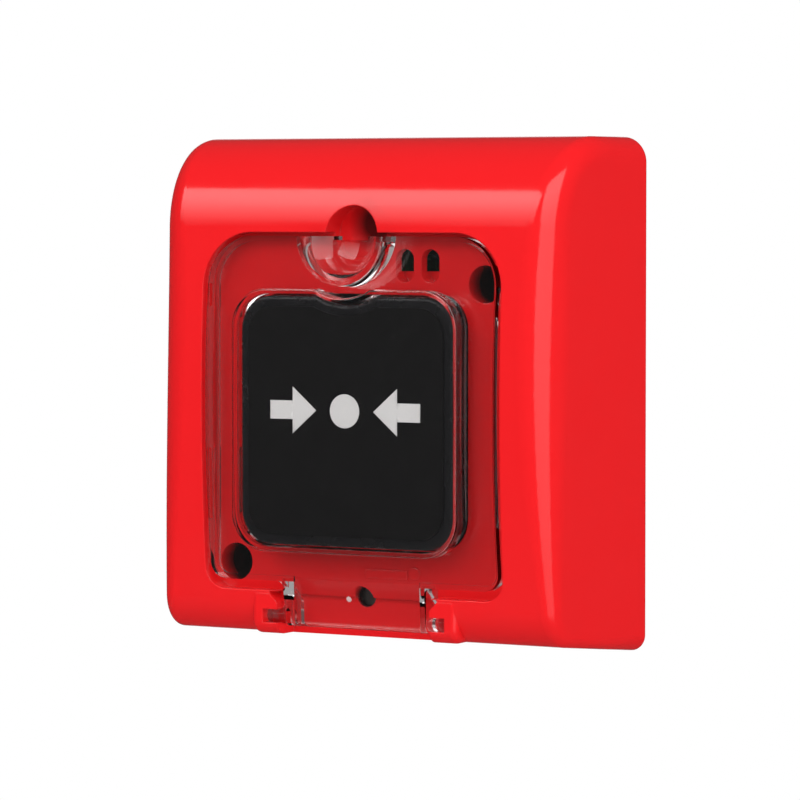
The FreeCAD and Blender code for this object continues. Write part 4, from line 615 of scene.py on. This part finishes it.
# The floor is a disc, rings of radius r at height 0, and turns white towards its edge. It isn't there from
# below, or for rays that were turned back inside the clear cover.
def makeStage():
    floorFinish, tree, shader = newMaterial("paleFloor")
    shader.inputs["Base Color"].default_value = (stageLook["grey"],) * 3 + (1,)
    shader.inputs["Roughness"].default_value = stageLook["rough"]
    rays, path = backgroundRays(tree)
    source = addNode(tree, "ShaderNodeTexCoord")
    far = addNode(tree, "ShaderNodeVectorMath", operation="LENGTH")
    tree.links.new(source.outputs["Object"], far.inputs[0])
    fade = remap(tree, far.outputs["Value"], 0.0, 1.0, stageLook["whiteFrom"], stageLook["whiteTo"])
    white = addNode(tree, "ShaderNodeEmission", Color=(1, 1, 1, 1))
    shown = mixShaders(tree, maths(tree, "MULTIPLY", rays, fade), shader.outputs[0], white.outputs[0])
    side = addNode(tree, "ShaderNodeNewGeometry")
    away = maths(tree, "MAXIMUM", side.outputs["Backfacing"], reflectedInGlass(tree, path))
    clear = addNode(tree, "ShaderNodeBsdfTransparent")
    shown = mixShaders(tree, away, shown, clear.outputs[0])
    tree.links.new(shown, tree.nodes["Material Output"].inputs["Surface"])
    turn = np.linspace(0, 2 * math.pi, stageLook["around"] + 1)[:-1]
    # outermost first, so that it faces up
    rings = np.linspace(stageLook["floorRadius"], stageLook["innerRing"], stageLook["rings"])
    points = np.stack([np.outer(rings, np.cos(turn)), np.outer(rings, np.sin(turn)),
                       np.zeros((len(rings), len(turn)))], axis=-1)
    floor = gridMesh("floor", points, floorFinish)
    floor.location.z = stageLook["floorHeight"]
    floor.visible_glossy = False


# A softbox one metre away, brighter towards its top edge. Its power is its area times pi, so the strength
# in its shader is its radiance.
def makeLamp(name, azimuth, elevation, width, height, foot, top, inGlass):
    a, e = math.radians(azimuth), math.radians(elevation)
    toward = Vector((math.sin(a) * math.cos(e), -math.cos(a) * math.cos(e), math.sin(e)))
    light = bpy.data.lights.new(name, "AREA")
    light.shape = "RECTANGLE"
    light.size, light.size_y = width, height
    light.energy = width * height * math.pi
    light.use_nodes = True
    tree = light.node_tree
    panel = addNode(tree, "ShaderNodeNewGeometry")
    parts = addNode(tree, "ShaderNodeSeparateXYZ")
    tree.links.new(panel.outputs["Parametric"], parts.inputs[0])
    level = remap(tree, parts.outputs["Y"], foot, top, *lampRise)
    tree.links.new(level, tree.nodes["Emission"].inputs["Strength"])
    lamp = bpy.data.objects.new(name, light)
    lamp.location = toward
    lamp.rotation_euler = toward.to_track_quat("Z", "Y").to_euler()
    lamp.visible_transmission = inGlass
    scene.collection.objects.link(lamp)


# even light on the object; the camera sees white, and gloss and glass see white behind the object
def makeWorld():
    world = bpy.data.worlds.new("studio")
    scene.world = world
    world.use_nodes = True
    tree = world.node_tree
    source = addNode(tree, "ShaderNodeTexCoord")

    def levelOf(direction, low, high, fromLow, fromHigh):
        along = addNode(tree, "ShaderNodeVectorMath", operation="DOT_PRODUCT")
        along.inputs[1].default_value = direction
        tree.links.new(source.outputs["Generated"], along.inputs[0])
        return remap(tree, along.outputs["Value"], low, high, fromLow, fromHigh)

    def lightOf(level):
        light = addNode(tree, "ShaderNodeBackground", Color=(1, 1, 1, 1))
        tree.links.new(level, light.inputs["Strength"])
        return light.outputs[0]

    look = worldLook
    even = lightOf(levelOf(look["lean"], look["low"], look["high"], *look["leanRange"]))
    inGloss = lightOf(levelOf(look["behind"], look["dark"], 1.0, *look["narrow"]))
    rays, path = backgroundRays(tree)
    backdrop = levelOf(look["beyond"], 0.0, 1.0, *look["wide"])
    aside = levelOf(look["mirror"], look["glass"], look["glassDark"], *look["cone"])
    straight = maths(tree, "SUBTRACT", 1.0, reflectedInGlass(tree, path))
    inGlass = lightOf(maths(tree, "MAXIMUM", straight, maths(tree, "MAXIMUM", backdrop, aside)))
    white = addNode(tree, "ShaderNodeBackground", Color=(1, 1, 1, 1), Strength=1.0)
    gathered = maths(tree, "GREATER_THAN", path.outputs["Diffuse Depth"], 0.5)
    seen = maths(tree, "MULTIPLY", rays, maths(tree, "SUBTRACT", 1.0, gathered))
    shown = mixShaders(tree, path.outputs["Is Transmission Ray"], inGloss, inGlass)
    shown = mixShaders(tree, path.outputs["Is Camera Ray"], shown, white.outputs[0])
    tree.links.new(mixShaders(tree, seen, even, shown), tree.nodes["World Output"].inputs["Surface"])


def makeCamera():
    lens = bpy.data.cameras.new("camera")
    lens.sensor_width = cameraLook["sensor"]
    lens.lens = cameraLook["focalPixels"] * lens.sensor_width / cameraLook["photoPixels"]
    lens.clip_start = cameraLook["nearest"]
    camera = bpy.data.objects.new("camera", lens)
    camera.location = cameraLook["place"]
    camera.rotation_euler = (math.radians(90 - cameraLook["down"]), 0, math.radians(cameraLook["azimuth"]))
    scene.collection.objects.link(camera)
    scene.camera = camera


makeStage()
for name, look in lampLook.items():
    makeLamp(name, *look)
makeWorld()
makeCamera()
scene.view_settings.view_transform = "Standard"
print("stage, lamps and camera ready")
